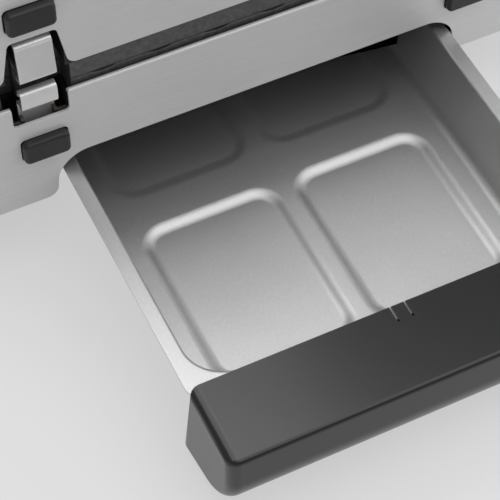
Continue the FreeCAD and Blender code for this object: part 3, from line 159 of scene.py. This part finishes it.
finishes = {
    "brushed_housing": brushedSteel("brushed stainless housing", {
        "grain": (0.02, 1, 1), "streakMm": 0.6, "patchMm": 90, "dark": "#dedede", "light": "#e8e8e8",
        "rough": 0.46, "bump": 0.1, "metal": 0.35}),
    "tray_steel": brushedSteel("satin drawn stainless", {
        "grain": (1, 0.35, 1), "streakMm": 0.7, "patchMm": 55, "dark": "#c8c8c8", "light": "#d6d6d6",
        "rough": 0.4, "bump": 0.22, "metal": 0.78}),
    "plate_coating": metalSheet("non-stick on cast aluminium", {
        "cloudMm": 2.5, "dark": "#525253", "light": "#6c6c6d", "rough": 0.42, "bump": 0.3, "metal": 0.35}),
    "chrome_clip": metalSheet("chromed spring steel", {
        "cloudMm": 12, "dark": "#ececec", "light": "#f4f4f4", "rough": 0.34, "bump": 0.03, "metal": 0.6}),
    "bright_steel": metalSheet("zinc-plated steel", {
        "cloudMm": 5, "dark": "#9a9a99", "light": "#b5b5b3", "rough": 0.36, "bump": 0.1, "metal": 1.0}),
    "reflector_aluminium": metalSheet("rolled aluminium", {
        "cloudMm": 30, "dark": "#c2c2c3", "light": "#d6d6d8", "rough": 0.24, "bump": 0.05, "metal": 1.0}),
    # the heater sheath's own oxide; the clip rivets borrow this finish as painted shade
    "element_sheath": metalSheet("oxidised heater sheath, painted shade on clip rivets", {
        "cloudMm": 6, "dark": "#4a423c", "light": "#675d55", "rough": 0.55, "bump": 0.2, "metal": 0.7}),
    "gloss_black": moulded("glossy black phenolic", {
        "grainMm": 0.9, "dark": "#141415", "light": "#19191a", "rough": 0.22, "bump": 0.03, "ior": 1.5,
        "coat": 0.1}),
    "black_plastic": moulded("black nylon", {
        "grainMm": 0.7, "dark": "#1c1c1d", "light": "#262627", "rough": 0.55, "bump": 0.25, "ior": 1.5}),
    "button_plastic": moulded("satin black nylon", {
        "grainMm": 0.5, "dark": "#1c1c1d", "light": "#242425", "rough": 0.45, "bump": 0.15, "ior": 1.5}),
    "foot_rubber": moulded("soft rubber", {
        "grainMm": 0.8, "dark": "#2a2a2a", "light": "#363636", "rough": 0.8, "bump": 0.3, "ior": 1.5}),
    "white_ceramic": moulded("steatite ceramic", {
        "grainMm": 0.6, "dark": "#d2cdbf", "light": "#e2ded2", "rough": 0.5, "bump": 0.15, "ior": 1.6}),
    "red_lens": moulded("clear red acrylic", {
        "grainMm": 2.0, "dark": "#7d1510", "light": "#a52018", "rough": 0.15, "bump": 0.02, "ior": 1.49}),
    "green_lens": moulded("clear green acrylic", {
        "grainMm": 2.0, "dark": "#0f5a25", "light": "#1a7a36", "rough": 0.15, "bump": 0.02, "ior": 1.49}),
}

for part in frame["record"]["subparts"]:
    solid = frame["nodes"][part["node"]]
    solid.data.materials.clear()
    solid.data.materials.append(finishes[part["material_slot"]])
print("finishes on the solids:", len(finishes))


# modelling: each piece is drawn in millimetres from the front panel and picked over by place

def millimetres(point):
    return Vector((point.x * 1000, (point.y + frontY) * 1000, point.z * 1000))


def letGo():  # leaves edit mode with nothing selected
    if bpy.context.mode == "EDIT_MESH":
        bpy.ops.object.mode_set(mode="OBJECT")
    bpy.ops.object.select_all(action="DESELECT")


def startBlock(name, low, high):
    letGo()
    low, high = place(*low), place(*high)
    bpy.ops.mesh.primitive_cube_add(size=1, location=(low + high) / 2, scale=high - low)
    return started(name)


def startSheet(name, low, high, level):
    letGo()
    low, high = place(*low, level), place(*high, level)
    bpy.ops.mesh.primitive_plane_add(size=1, location=(low + high) / 2)
    bpy.context.object.scale = (high.x - low.x, high.y - low.y, 1)
    return started(name)


def startBar(name, start, end, y, z, radius, sides=64):  # round, and lying across from start to end
    letGo()
    bpy.ops.mesh.primitive_cylinder_add(
        vertices=sides, radius=radius / 1000, depth=abs(end - start) / 1000,
        location=place((start + end) / 2, y, z), rotation=(0, math.radians(90), 0))
    return started(name)


def started(name):
    piece = bpy.context.object
    piece.name = piece.data.name = name
    bpy.ops.object.transform_apply(location=True, rotation=True, scale=True)
    bpy.ops.object.mode_set(mode="EDIT")
    return piece


def pick(piece, kind, test):  # test gets the place in millimetres and a face's normal or an edge's run and angle
    bpy.ops.mesh.select_all(action="DESELECT")
    bpy.ops.mesh.select_mode(type=kind)
    mesh = bmesh.from_edit_mesh(piece.data)
    mesh.normal_update()
    if kind == "FACE":
        for face in mesh.faces:
            face.select_set(test(millimetres(face.calc_center_median()), face.normal))
    if kind == "EDGE":
        for edge in mesh.edges:
            one, two = (millimetres(corner.co) for corner in edge.verts)
            angle = math.degrees(edge.calc_face_angle(0)) if edge.is_manifold else 0
            edge.select_set(test((one + two) / 2, two - one, angle))
    if kind == "VERT":
        for corner in mesh.verts:
            corner.select_set(test(millimetres(corner.co)))
    mesh.select_flush_mode()
    bmesh.update_edit_mesh(piece.data)


def rounding(size, steps, corners=False):
    bpy.ops.mesh.bevel(offset=size / 1000, segments=steps, affect="VERTICES" if corners else "EDGES")


def moveBy(x, y, z):
    bpy.ops.transform.translate(value=(x / 1000, y / 1000, z / 1000))


def choose(piece, *others):  # the first is the active one
    letGo()
    for each in (piece, *others):
        each.select_set(True)
    bpy.context.view_layer.objects.active = piece


def joinTo(piece, *others):
    choose(piece, *others)
    bpy.ops.object.join()


def modify(piece, kind, **settings):
    choose(piece)
    made = piece.modifiers.new(kind.lower(), kind)
    for setting, value in settings.items():
        setattr(made, setting, value)
    bpy.ops.object.modifier_apply(modifier=made.name)


def cutAway(piece, *tools):
    for tool in tools:
        modify(piece, "BOOLEAN", operation="DIFFERENCE", object=tool, solver="EXACT")
        bpy.data.objects.remove(tool)


def done(piece, body, slotName, *replaced, crease=32):
    choose(piece)
    bpy.ops.object.shade_smooth_by_angle(angle=math.radians(crease))
    modify(piece, "WEIGHTED_NORMAL", keep_sharp=True)
    piece.data.materials.clear()
    piece.data.materials.append(finishes[slotName])
    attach(piece, body)
    if replaced:
        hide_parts(*replaced)


# drip tray: one drawn sheet, its rim flat and its floor pressed into four shallow pads

tray = {"half": 100, "front": -138.5, "back": 111.5, "rim": 54, "rimWidth": 7.4, "rimCorner": 8, "sheet": 0.8,
        "wellCorner": 18, "lip": 1.4, "draft": 2.4, "floor": 14.5, "foot": 6, "edge": 0.3,
        "padX": (4.1, 75.2), "padY": ((-114.5, -19.5), (0, 95)), "padCorner": 13, "padDepth": 1.8,
        "padSlope": 4, "padRoll": 1.5, "lipSteps": 4, "footSteps": 8}

flat = tray["rimWidth"] - tray["lip"]
middleY = (tray["front"] + tray["back"]) / 2
wellHalf = (tray["half"] - flat, (tray["back"] - tray["front"]) / 2 - flat)
traySheet = startSheet("drip_tray_sheet", (-tray["half"], tray["front"]), (tray["half"], tray["back"]), tray["rim"])
rounding(tray["rimCorner"], 14, corners=True)
well = startSheet("tray_well", (-wellHalf[0], middleY - wellHalf[1]), (wellHalf[0], middleY + wellHalf[1]),
                  tray["rim"])
rounding(tray["wellCorner"] + tray["lip"], 14, corners=True)
joinTo(traySheet, well)
bpy.ops.object.mode_set(mode="EDIT")
bpy.ops.mesh.select_all(action="SELECT")
bpy.ops.mesh.delete(type="ONLY_FACE")
bpy.ops.mesh.select_all(action="SELECT")
bpy.ops.mesh.bridge_edge_loops()

section = []  # how far in from the flat of the rim, and how high: the lip's curve, then the foot's
for step in range(1, tray["lipSteps"] + 1):
    turn = math.radians(90 * step / tray["lipSteps"])
    section.append((tray["lip"] * math.sin(turn), tray["rim"] - tray["lip"] * (1 - math.cos(turn))))
for step in range(tray["footSteps"] + 1):
    turn = math.radians(90 * step / tray["footSteps"])
    section.append((tray["lip"] + tray["draft"] + tray["foot"] * (1 - math.cos(turn)),
                    tray["floor"] + tray["foot"] * (1 - math.sin(turn))))
pick(traySheet, "VERT", lambda at: abs(at.x) < wellHalf[0] + 0.05 and abs(at.y - middleY) < wellHalf[1] + 0.05)
inset, level = 0, tray["rim"]
for nextInset, nextLevel in section:
    bpy.ops.mesh.extrude_region_move(TRANSFORM_OT_translate={"value": (0, 0, (nextLevel - level) / 1000)})
    bpy.ops.transform.resize(value=((wellHalf[0] - nextInset) / (wellHalf[0] - inset),
                                    (wellHalf[1] - nextInset) / (wellHalf[1] - inset), 1),
                             center_override=place(0, middleY, nextLevel))
    inset, level = nextInset, nextLevel

for side in (-1, 1):
    for front, back in tray["padY"]:
        ends = sorted(side * x for x in tray["padX"])
        pad = startSheet("tray_pad", (ends[0], front), (ends[1], back), tray["floor"])
        rounding(tray["padCorner"], 12, corners=True)
        bpy.ops.mesh.select_all(action="SELECT")
        bpy.ops.mesh.inset(thickness=tray["padSlope"] / 1000, depth=-tray["padDepth"] / 1000)
        joinTo(traySheet, pad)
bpy.ops.object.mode_set(mode="EDIT")
pick(traySheet, "VERT", lambda at: abs(at.z - tray["floor"]) < 0.01)
bpy.ops.mesh.fill(use_beauty=True)
bpy.ops.mesh.select_all(action="SELECT")
bpy.ops.mesh.normals_make_consistent(inside=False)
if min(bmesh.from_edit_mesh(traySheet.data).faces, key=lambda face: face.calc_center_median().z).normal.z < 0:
    bpy.ops.mesh.flip_normals()
for level in (tray["floor"], tray["floor"] - tray["padDepth"]):
    pick(traySheet, "EDGE", lambda at, run, angle: abs(at.z - level) < 0.01 and 12 < angle < 60)
    rounding(tray["padRoll"], 4)
modify(traySheet, "SOLIDIFY", thickness=tray["sheet"] / 1000, offset=-1)
modify(traySheet, "BEVEL", width=tray["edge"] / 1000, segments=2, limit_method="ANGLE", angle_limit=math.radians(60))
done(traySheet, "drawer", "tray_steel", "drip_tray")
print("drip tray drawn:", len(traySheet.data.polygons), "faces")


# tray handle: a hollow moulding with one large curve underneath, its ends rounded over

grip = {"half": 100, "front": -174.5, "back": -132.5, "top": 55.8, "bottom": 1.8, "lean": 9, "rise": 11,
        "belly": 25, "topRoll": 2.2, "endRoll": 5.5, "skin": 1.6, "cheek": 2.8, "pocketFront": -140,
        "pocketFloor": 13.4, "pocketCorner": 1.5, "slotAt": 3.5, "slot": 1.0, "slotLength": 8.5,
        "slotCorner": 0.45, "middle": (0, -151, 30), "halfDepth": 23, "endSteps": 8}

straight = grip["half"] - grip["endRoll"]
handle = startBlock("tray_handle_moulding", (-straight, grip["front"], grip["bottom"]),
                    (straight, grip["back"], grip["top"]))
pick(handle, "VERT", lambda at: at.z < grip["bottom"] + 1 and at.y > grip["back"] - 1)
moveBy(0, grip["lean"], 0)
pick(handle, "VERT", lambda at: at.z < grip["bottom"] + 1 and at.y < grip["front"] + 1)
moveBy(0, 0, grip["rise"])
pick(handle, "EDGE", lambda at, run, angle: abs(run.x) > 100 and at.y < grip["front"] + 1 and at.z < 20)
rounding(grip["belly"], 24)
pick(handle, "EDGE", lambda at, run, angle: abs(run.x) > 100 and at.y < grip["front"] + 1 and at.z > 50)
rounding(grip["topRoll"], 6)
for side in (-1, 1):
    reach, shrunk = straight, 1
    for step in range(1, grip["endSteps"] + 1):
        turn = math.radians(90 * step / grip["endSteps"])
        nextReach = straight + grip["endRoll"] * math.sin(turn)
        drawnIn = 1 - grip["endRoll"] * (1 - math.cos(turn)) / grip["halfDepth"]
        pick(handle, "FACE", lambda at, normal: side * normal.x > 0.98 and abs(side * at.x - reach) < 0.01)
        bpy.ops.mesh.extrude_region_move(TRANSFORM_OT_translate={"value": (side * (nextReach - reach) / 1000, 0, 0)})
        bpy.ops.transform.resize(value=(1, drawnIn / shrunk, (1 + drawnIn) / (1 + shrunk)),
                                 center_override=place(*grip["middle"]))
        reach, shrunk = nextReach, drawnIn
hollow = startBlock("handle_hollow", (grip["cheek"] - grip["half"], grip["pocketFront"], grip["pocketFloor"]),
                    (grip["half"] - grip["cheek"], grip["back"] + 30, grip["top"] - grip["skin"]))
rounding(grip["pocketCorner"], 3)
slots = []
for side in (-1, 1):
    slots.append(startBlock("handle_slot", (side * grip["slotAt"] - grip["slot"] / 2,
                                            grip["back"] - grip["slotLength"], grip["top"] - grip["skin"] - 0.5),
                            (side * grip["slotAt"] + grip["slot"] / 2, grip["back"] + 3, grip["top"] + 1)))
    pick(slots[-1], "EDGE", lambda at, run, angle: abs(run.z) > 1 and at.y < grip["back"])
    rounding(grip["slotCorner"], 4)
cutAway(handle, hollow, *slots)
done(handle, "drawer", "gloss_black", "tray_handle", crease=40)
print("tray handle moulded")


# base panels: one wrapped sheet with a rolled top, the drawer opening and the latches' cut-outs

panels = {"half": 170, "back": 300, "skirt": 38.5, "deck": 105.2, "corner": 18, "hem": 2.6, "fold": 2.4,
          "roll": 1.2, "sheet": 1.2, "openingTop": 63.2, "openingHalf": 101.3, "openingFoot": 104.5,
          "openingCorner": 14, "footCorner": 5, "latchX": 107.5, "cutHalf": 13.2, "cutFoot": 93, "cutCorner": 2,
          "windowZ": 76.35, "window": (11.4, 6.8), "windowCorner": 2.4, "edge": 0.4,
          "inlet": ((-124.3, 295, 41.7), (-95.7, 304, 62.3))}


def wrappedBlock(name, inset, low, high):  # the housing's plan drawn in by inset
    block = startBlock(name, (inset - panels["half"], inset, low),
                       (panels["half"] - inset, panels["back"] - inset, high))
    pick(block, "EDGE", lambda at, run, angle: abs(run.z) > 0.5)
    rounding(panels["corner"] - inset, 14)
    return block


base = wrappedBlock("base_panels", 0, panels["skirt"], panels["deck"])
behindSheet = wrappedBlock("behind_sheet", panels["sheet"], panels["skirt"] - 2, panels["deck"] - panels["fold"])
insideHem = wrappedBlock("inside_hem", panels["hem"], panels["deck"] - panels["fold"] - 1, panels["deck"] + 2)
cutAway(base, behindSheet, insideHem)


def windowCut(x, z):  # the hole a release button comes through
    halfWidth, halfHeight = panels["window"]
    tool = startBlock("window_cut", (x - halfWidth, -4, z - halfHeight), (x + halfWidth, 4, z + halfHeight))
    pick(tool, "EDGE", lambda at, run, angle: abs(run.y) > 5)
    rounding(panels["windowCorner"], 6)
    return tool


opening = startBlock("opening_cut", (-panels["openingFoot"], -4, panels["skirt"]),
                     (panels["openingFoot"], 6, panels["openingTop"]))
pick(opening, "VERT", lambda at: at.z > 60)
bpy.ops.transform.resize(value=(panels["openingHalf"] / panels["openingFoot"], 1, 1),
                         center_override=place(0, 0, panels["openingTop"]))
pick(opening, "EDGE", lambda at, run, angle: abs(run.y) > 5 and at.z > 60)
rounding(panels["openingCorner"], 14)
pick(opening, "FACE", lambda at, normal: normal.z < -0.9)
moveBy(0, 0, -3)
tools = [opening, startBlock("inlet_cut", *panels["inlet"])]
for side in (-1, 1):
    x = side * panels["latchX"]
    tools.append(startBlock("clip_cut", (x - panels["cutHalf"], -4, panels["cutFoot"]),
                            (x + panels["cutHalf"], 6, panels["deck"] + 3)))
    pick(tools[-1], "EDGE", lambda at, run, angle: abs(run.y) > 5 and at.z < panels["cutFoot"] + 1)
    rounding(panels["cutCorner"], 5)
    tools.append(windowCut(x, panels["windowZ"]))
cutAway(base, *tools)
bpy.ops.object.mode_set(mode="EDIT")
pick(base, "EDGE", lambda at, run, angle: abs(at.z - panels["skirt"]) < 0.5 and abs(run.y) > 0.5
     and abs(run.x) < 0.1 and abs(abs(at.x) - panels["openingFoot"]) < 1 and at.y < 5)
rounding(panels["footCorner"], 7)
pick(base, "EDGE", lambda at, run, angle: abs(at.z - panels["deck"]) < 0.01 and angle > 60)
rounding(panels["roll"], 5)
modify(base, "BEVEL", width=panels["edge"] / 1000, segments=2, limit_method="ANGLE", angle_limit=math.radians(50))
done(base, "base", "brushed_housing", "base_shell")
print("base panels folded:", len(base.data.polygons), "faces")


# lid panels: the same sheet drawn over in one round shoulder

cover = {"back": 300, "low": 122, "top": 186, "shoulder": 11, "sheet": 1.2, "cutTop": 145.3, "cutTopHalf": 11,
         "cutFootHalf": 15.2, "cutCorner": 2, "flare": 4, "windowZ": 158.35, "notchX": 130, "notchHalf": 17.5,
         "notchTop": 139.5, "notchCorner": 4, "edge": 0.35}

lid = wrappedBlock("lid_panels", 0, cover["low"], cover["top"])
pick(lid, "EDGE", lambda at, run, angle: abs(at.z - cover["top"]) < 0.01 and angle > 60)
rounding(cover["shoulder"], 12)
underLid = wrappedBlock("under_lid", cover["sheet"], cover["low"] - 2, cover["top"] - cover["sheet"])
pick(underLid, "EDGE", lambda at, run, angle: abs(at.z - cover["top"] + cover["sheet"]) < 0.01 and angle > 60)
rounding(cover["shoulder"] - cover["sheet"], 12)
cutAway(lid, underLid)
tools = []
for side in (-1, 1):
    x = side * panels["latchX"]
    tools.append(startBlock("hood_cut", (x - cover["cutFootHalf"], -4, cover["low"] - 1),
                            (x + cover["cutFootHalf"], 6, cover["cutTop"])))
    pick(tools[-1], "VERT", lambda at: at.z > cover["cutTop"] - 1)
    bpy.ops.transform.resize(value=(cover["cutTopHalf"] / cover["cutFootHalf"], 1, 1),
                             center_override=place(x, 0, cover["cutTop"]))
    pick(tools[-1], "EDGE", lambda at, run, angle: abs(run.y) > 5 and at.z > cover["cutTop"] - 1)
    rounding(cover["cutCorner"], 5)
    tools.append(windowCut(x, cover["windowZ"]))
    hinge = side * cover["notchX"]
    tools.append(startBlock("hinge_cut", (hinge - cover["notchHalf"], cover["back"] - 5, cover["low"] - 1),
                            (hinge + cover["notchHalf"], cover["back"] + 5, cover["notchTop"])))
    pick(tools[-1], "EDGE", lambda at, run, angle: abs(run.y) > 5 and at.z > cover["notchTop"] - 1)
    rounding(cover["notchCorner"], 5)
cutAway(lid, *tools)
bpy.ops.object.mode_set(mode="EDIT")
pick(lid, "EDGE", lambda at, run, angle: at.z < cover["low"] + 1.5 and abs(run.y) > 0.3 and abs(run.x) < 0.1
     and at.y < 3 and abs(abs(abs(at.x) - panels["latchX"]) - cover["cutFootHalf"]) < 1.5)
rounding(cover["flare"], 6)
modify(lid, "BEVEL", width=cover["edge"] / 1000, segments=2, limit_method="ANGLE", angle_limit=math.radians(50))
done(lid, "lid", "brushed_housing", "lid_shell")
print("lid panels drawn:", len(lid.data.polygons), "faces")


# release buttons: modelled once at the lower left, then copied

push = {"x": -107.5, "low": 76.35, "high": 158.35, "half": (11, 6.4), "front": -4, "back": 3.4, "corner": 2.6,
        "roll": 1.7, "overlap": 0.1}

halfWidth, halfHeight = push["half"]
firstButton = startBlock("release_button", (push["x"] - halfWidth, push["front"], push["low"] - halfHeight),
                         (push["x"] + halfWidth, push["back"], push["low"] + halfHeight))
pick(firstButton, "EDGE", lambda at, run, angle: abs(run.y) > 5)
rounding(push["corner"], 6)
pick(firstButton, "EDGE", lambda at, run, angle: abs(at.y - push["front"]) < 0.01 and angle > 60)
rounding(push["roll"], 6)
pick(firstButton, "FACE", lambda at, normal: normal.y > 0.9)
bpy.ops.mesh.extrude_region_move(TRANSFORM_OT_translate={"value": (0, push["overlap"] / 1000, 0)})
letGo()


def copied(piece, name, across, up):
    made = bpy.data.objects.new(name, piece.data.copy())
    made.data.name = name
    bpy.context.scene.collection.objects.link(made)
    made.data.transform(Matrix.Translation((across / 1000, 0, up / 1000)))
    return made


for level, up in (("lower", 0), ("upper", push["high"] - push["low"])):
    for side, across in (("left", 0), ("right", -2 * push["x"])):
        node = f"{level}_button_{side}"
        done(copied(firstButton, node + "_cap", across, up), node + "_body", "button_plastic", node)
bpy.data.objects.remove(firstButton)
print("release buttons moulded")


# plate clips: a bent strip with riveted ears and stub pins; the rivets take the heater sheath's dark steel finish,
# which stands in as painted shade for the shade the clip's ears and pins sit in

strip = {"x": -107.5, "half": 8.5, "sheet": 1.5, "bend": 1.52, "edge": 0.3, "pivotY": 4.8,
         "earHalf": 3.2, "earY": (2.9, 6.4), "earCorner": 1.6, "pin": 1.5, "pinReach": 15.6, "pinRoll": 0.3,
         "lowerPath": ((7.05, 71.4), (7.05, 102.25), (0.25, 102.25), (0.25, 111.55), (4.25, 111.55), (4.25, 108.2)),
         "lowerPivot": 90.0,
         "upperPath": ((7.05, 164.8), (7.05, 141.75), (0.2, 141.75), (-2.1, 122.0), (4.0, 120.5)),
         "upperPivot": 146.0}


def bentClip(name, path, pivot):
    y, z = path[0]
    clip = startSheet(name, (strip["x"] - strip["half"], y - 0.5), (strip["x"] + strip["half"], y + 0.5), z)
    pick(clip, "EDGE", lambda at, run, angle: abs(run.x) > 5 and at.y > y)
    bpy.ops.mesh.delete(type="VERT")
    pick(clip, "VERT", lambda at: True)
    moveBy(0, 0.5, 0)
    for (y, z), (nextY, nextZ) in zip(path, path[1:]):
        pick(clip, "VERT", lambda at: abs(at.y - y) < 0.01 and abs(at.z - z) < 0.01)
        bpy.ops.mesh.extrude_region_move(
            TRANSFORM_OT_translate={"value": (0, (nextY - y) / 1000, (nextZ - z) / 1000)})
    pick(clip, "EDGE", lambda at, run, angle: abs(run.x) > 5 and angle > 20)
    rounding(strip["bend"], 5)
    bpy.ops.mesh.select_all(action="SELECT")
    bpy.ops.mesh.normals_make_consistent(inside=False)
    modify(clip, "SOLIDIFY", thickness=strip["sheet"] / 1000, offset=0, use_even_offset=True)
    modify(clip, "BEVEL", width=strip["edge"] / 1000, segments=2, limit_method="ANGLE",
           angle_limit=math.radians(60))
    rivets = []
    for ear in (-1, 1):
        outer = strip["x"] + ear * strip["half"]
        ends = sorted((outer - ear * strip["sheet"], outer))
        rivets.append(startBlock("clip_ear", (ends[0], strip["earY"][0], pivot - strip["earHalf"]),
                                 (ends[1], strip["earY"][1], pivot + strip["earHalf"])))
        pick(rivets[-1], "EDGE", lambda at, run, angle: abs(run.x) > 1 and at.y < strip["pivotY"])
        rounding(strip["earCorner"], 5)
        end = strip["x"] + ear * strip["pinReach"]
        rivets.append(startBar("clip_pin", outer - ear * strip["sheet"], end, strip["pivotY"], pivot, strip["pin"],
                               sides=24))
        pick(rivets[-1], "EDGE", lambda at, run, angle: abs(at.x - end) < 0.01 and angle > 60)
        rounding(strip["pinRoll"], 2)
    joinTo(*rivets)
    return clip, rivets[0]


for level in ("lower", "upper"):
    clip, rivets = bentClip(level + "_clip_strip", strip[level + "Path"], strip[level + "Pivot"])
    for side, across in (("left", 0), ("right", -2 * strip["x"])):
        node = f"{level}_clip_{side}"
        done(copied(clip, node + "_strip", across, 0), node + "_body", "chrome_clip", node)
        # the ears and pins get the dark sheath finish as painted shade, not their own bright steel
        done(copied(rivets, node + "_rivets", across, 0), node + "_body", "element_sheath")
    bpy.data.objects.remove(clip)
    bpy.data.objects.remove(rivets)
print("plate clips bent")


# the lid handle's round bar and the thermostat's dial

lidBar = {"radius": 12, "roll": 2.5}
low, high = (millimetres(corner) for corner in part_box("handle_grip"))
lidGrip = startBar("lid_grip_bar", low.x, high.x, (low.y + high.y) / 2, (low.z + high.z) / 2, lidBar["radius"])
pick(lidGrip, "EDGE", lambda at, run, angle: angle > 60 and min(abs(at.x - low.x), abs(at.x - high.x)) < 0.01)
rounding(lidBar["roll"], 5)
done(lidGrip, "lid", "gloss_black", "handle_grip")

dial = {"radius": 14, "skirt": 3.5, "step": 1.6, "rise": 1.4, "stepRoll": 0.5, "bar": 3.6, "barCorner": 3.24,
        "barEnd": 1, "roll": 1.2}
low, high = (millimetres(corner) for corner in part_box("thermostat_knob"))
middle = (low + high) / 2
knob = startBar("thermostat_dial", low.x, low.x + dial["skirt"], middle.y, middle.z, dial["radius"])
pick(knob, "FACE", lambda at, normal: normal.x > 0.9)
bpy.ops.mesh.inset(thickness=dial["step"] / 1000)
bpy.ops.mesh.extrude_region_move(TRANSFORM_OT_translate={"value": (dial["rise"] / 1000, 0, 0)})
pick(knob, "EDGE", lambda at, run, angle: angle > 60 and at.x > low.x + 1)
rounding(dial["stepRoll"], 3)
reach = dial["radius"] - dial["barEnd"]
bar = startBlock("dial_bar", (low.x + dial["skirt"], middle.y - dial["bar"], middle.z - reach),
                 (high.x, middle.y + dial["bar"], middle.z + reach))
pick(bar, "EDGE", lambda at, run, angle: abs(run.x) > 5)
rounding(dial["barCorner"], 8)
pick(bar, "EDGE", lambda at, run, angle: angle > 60 and at.x > high.x - 0.1)
rounding(dial["roll"], 5)
joinTo(knob, bar)
done(knob, "knob", "button_plastic", "thermostat_knob")
print("lid grip and thermostat dial turned")


# the other mouldings and castings keep their CAD form and get real rounded edges

bodyOf = {node: body for body, nodes in frame["record"]["behaviour"]["bodies"].items() for node in nodes}
slotOf = {part["node"]: part["material_slot"] for part in frame["record"]["subparts"]}
softEdges = {"lower_plate": 0.5, "upper_plate": 0.5, "deck_frame": 0.4, "lid_frame": 0.4, "chassis": 0.6,
             "rubber_feet": 1.5, "handle_arm_left": 1.6, "handle_arm_right": 1.6, "hinge_arm_left": 0.8,
             "hinge_arm_right": 0.8, "hinge_bracket_left": 0.4, "hinge_bracket_right": 0.4, "power_inlet": 0.6,
             "power_lamp": 0.8, "ready_lamp": 0.8, "lower_latch_left": 0.4, "lower_latch_right": 0.4,
             "upper_latch_left": 0.4, "upper_latch_right": 0.4, "handle_screws": 0.35}
for node, width in softEdges.items():
    piece = bpy.data.objects.new("soft_" + node, frame["nodes"][node].data.copy())
    bpy.context.scene.collection.objects.link(piece)
    choose(piece)
    bpy.ops.object.mode_set(mode="EDIT")
    bpy.ops.mesh.select_all(action="SELECT")
    bpy.ops.mesh.remove_doubles(threshold=0.00002)  # the solids' meshes come with every triangle on its own
    bpy.ops.mesh.dissolve_limited(angle_limit=math.radians(1))
    modify(piece, "BEVEL", width=width / 1000, segments=3, limit_method="ANGLE", angle_limit=math.radians(40))
    done(piece, bodyOf[node], slotOf[node], node)
print("edges rounded on", len(softEdges), "pieces")


# camera, floor and light

view = {"from": (-265.2, -527.3, 730.8), "right": (0.8972, -0.4416, 0.0), "up": (0.3549, 0.7211, 0.5951),
        "away": (-0.2628, -0.5339, 0.8037), "roll": 0.0064, "lens": 137.4}
camera = bpy.data.objects.new("camera", bpy.data.cameras.new("camera"))
bpy.context.scene.collection.objects.link(camera)
axes = Matrix((view["right"], view["up"], view["away"])).transposed().to_4x4()
camera.matrix_world = Matrix.Translation(place(*view["from"])) @ axes @ Matrix.Rotation(view["roll"], 4, "Z")
camera.data.lens = view["lens"]
camera.data.sensor_width = 36
camera.data.clip_start, camera.data.clip_end = 0.05, 20
bpy.context.scene.camera = camera

studio = {"paper": "#d6d6d7", "backdrop": "#f2f2f3", "shown": 0.6, "mirrored": 0.42, "sky": "#e6e6e7",
          "skyLevel": 0.5, "key": 10, "side": 4, "overhead": 4.6}
letGo()
bpy.ops.mesh.primitive_plane_add(size=8, location=(0, 0, -0.0002))
floor = bpy.context.object
floor.name = "floor"
made, tree, shader = newMaterial("studio paper")  # matt paper, which glows for the camera and less so in gloss
shader.inputs["Base Color"].default_value = colour(studio["paper"])
shader.inputs["Roughness"].default_value = 0.9
rays = addNode(tree, "ShaderNodeLightPath")
seen = addNode(tree, "ShaderNodeMath", {"operation": "MULTIPLY", "in:1": studio["shown"]},
               {"0": rays.outputs["Is Camera Ray"]})
bounced = addNode(tree, "ShaderNodeMath", {"operation": "MAXIMUM"},
                  {"0": rays.outputs["Is Glossy Ray"], "1": rays.outputs["Is Transmission Ray"]})
mirrored = addNode(tree, "ShaderNodeMath", {"operation": "MULTIPLY", "in:1": studio["mirrored"]},
                   {"0": bounced.outputs[0]})
share = addNode(tree, "ShaderNodeMath", {"operation": "MAXIMUM"}, {"0": seen.outputs[0], "1": mirrored.outputs[0]})
white = addNode(tree, "ShaderNodeEmission", {"in:Color": colour(studio["backdrop"])})
both = addNode(tree, "ShaderNodeMixShader", links={"0": share.outputs[0], "1": shader.outputs[0],
                                                   "2": white.outputs[0]})
tree.links.new(both.outputs[0], tree.nodes["Material Output"].inputs["Surface"])
floor.data.materials.append(made)


def lamp(name, spot, aim, size, power):
    light = bpy.data.lights.new(name, "AREA")
    light.shape, light.size, light.size_y, light.energy = "RECTANGLE", size[0], size[1], power
    holder = bpy.data.objects.new(name, light)
    bpy.context.scene.collection.objects.link(holder)
    holder.location = spot
    holder.rotation_euler = (Vector(aim) - Vector(spot)).to_track_quat("-Z", "Y").to_euler()


lamp("keySoftbox", (0.3, -0.3, 1.5), (0, -0.1, 0), (1.6, 1.6), studio["key"])
lamp("sideSoftbox", (1.4, -0.6, 0.7), (0, -0.1, 0.05), (1.0, 1.0), studio["side"])
lamp("overheadSoftbox", (-0.15, 0.62, 1.0), (-0.15, 0.3, 0), (0.85, 0.9), studio["overhead"])
world = bpy.data.worlds.new("studio")
world.use_nodes = True
world.node_tree.nodes["Background"].inputs[0].default_value = colour(studio["sky"])
world.node_tree.nodes["Background"].inputs[1].default_value = studio["skyLevel"]
bpy.context.scene.world = world
bpy.context.scene.view_settings.view_transform = "Standard"
print("camera, floor and light set")
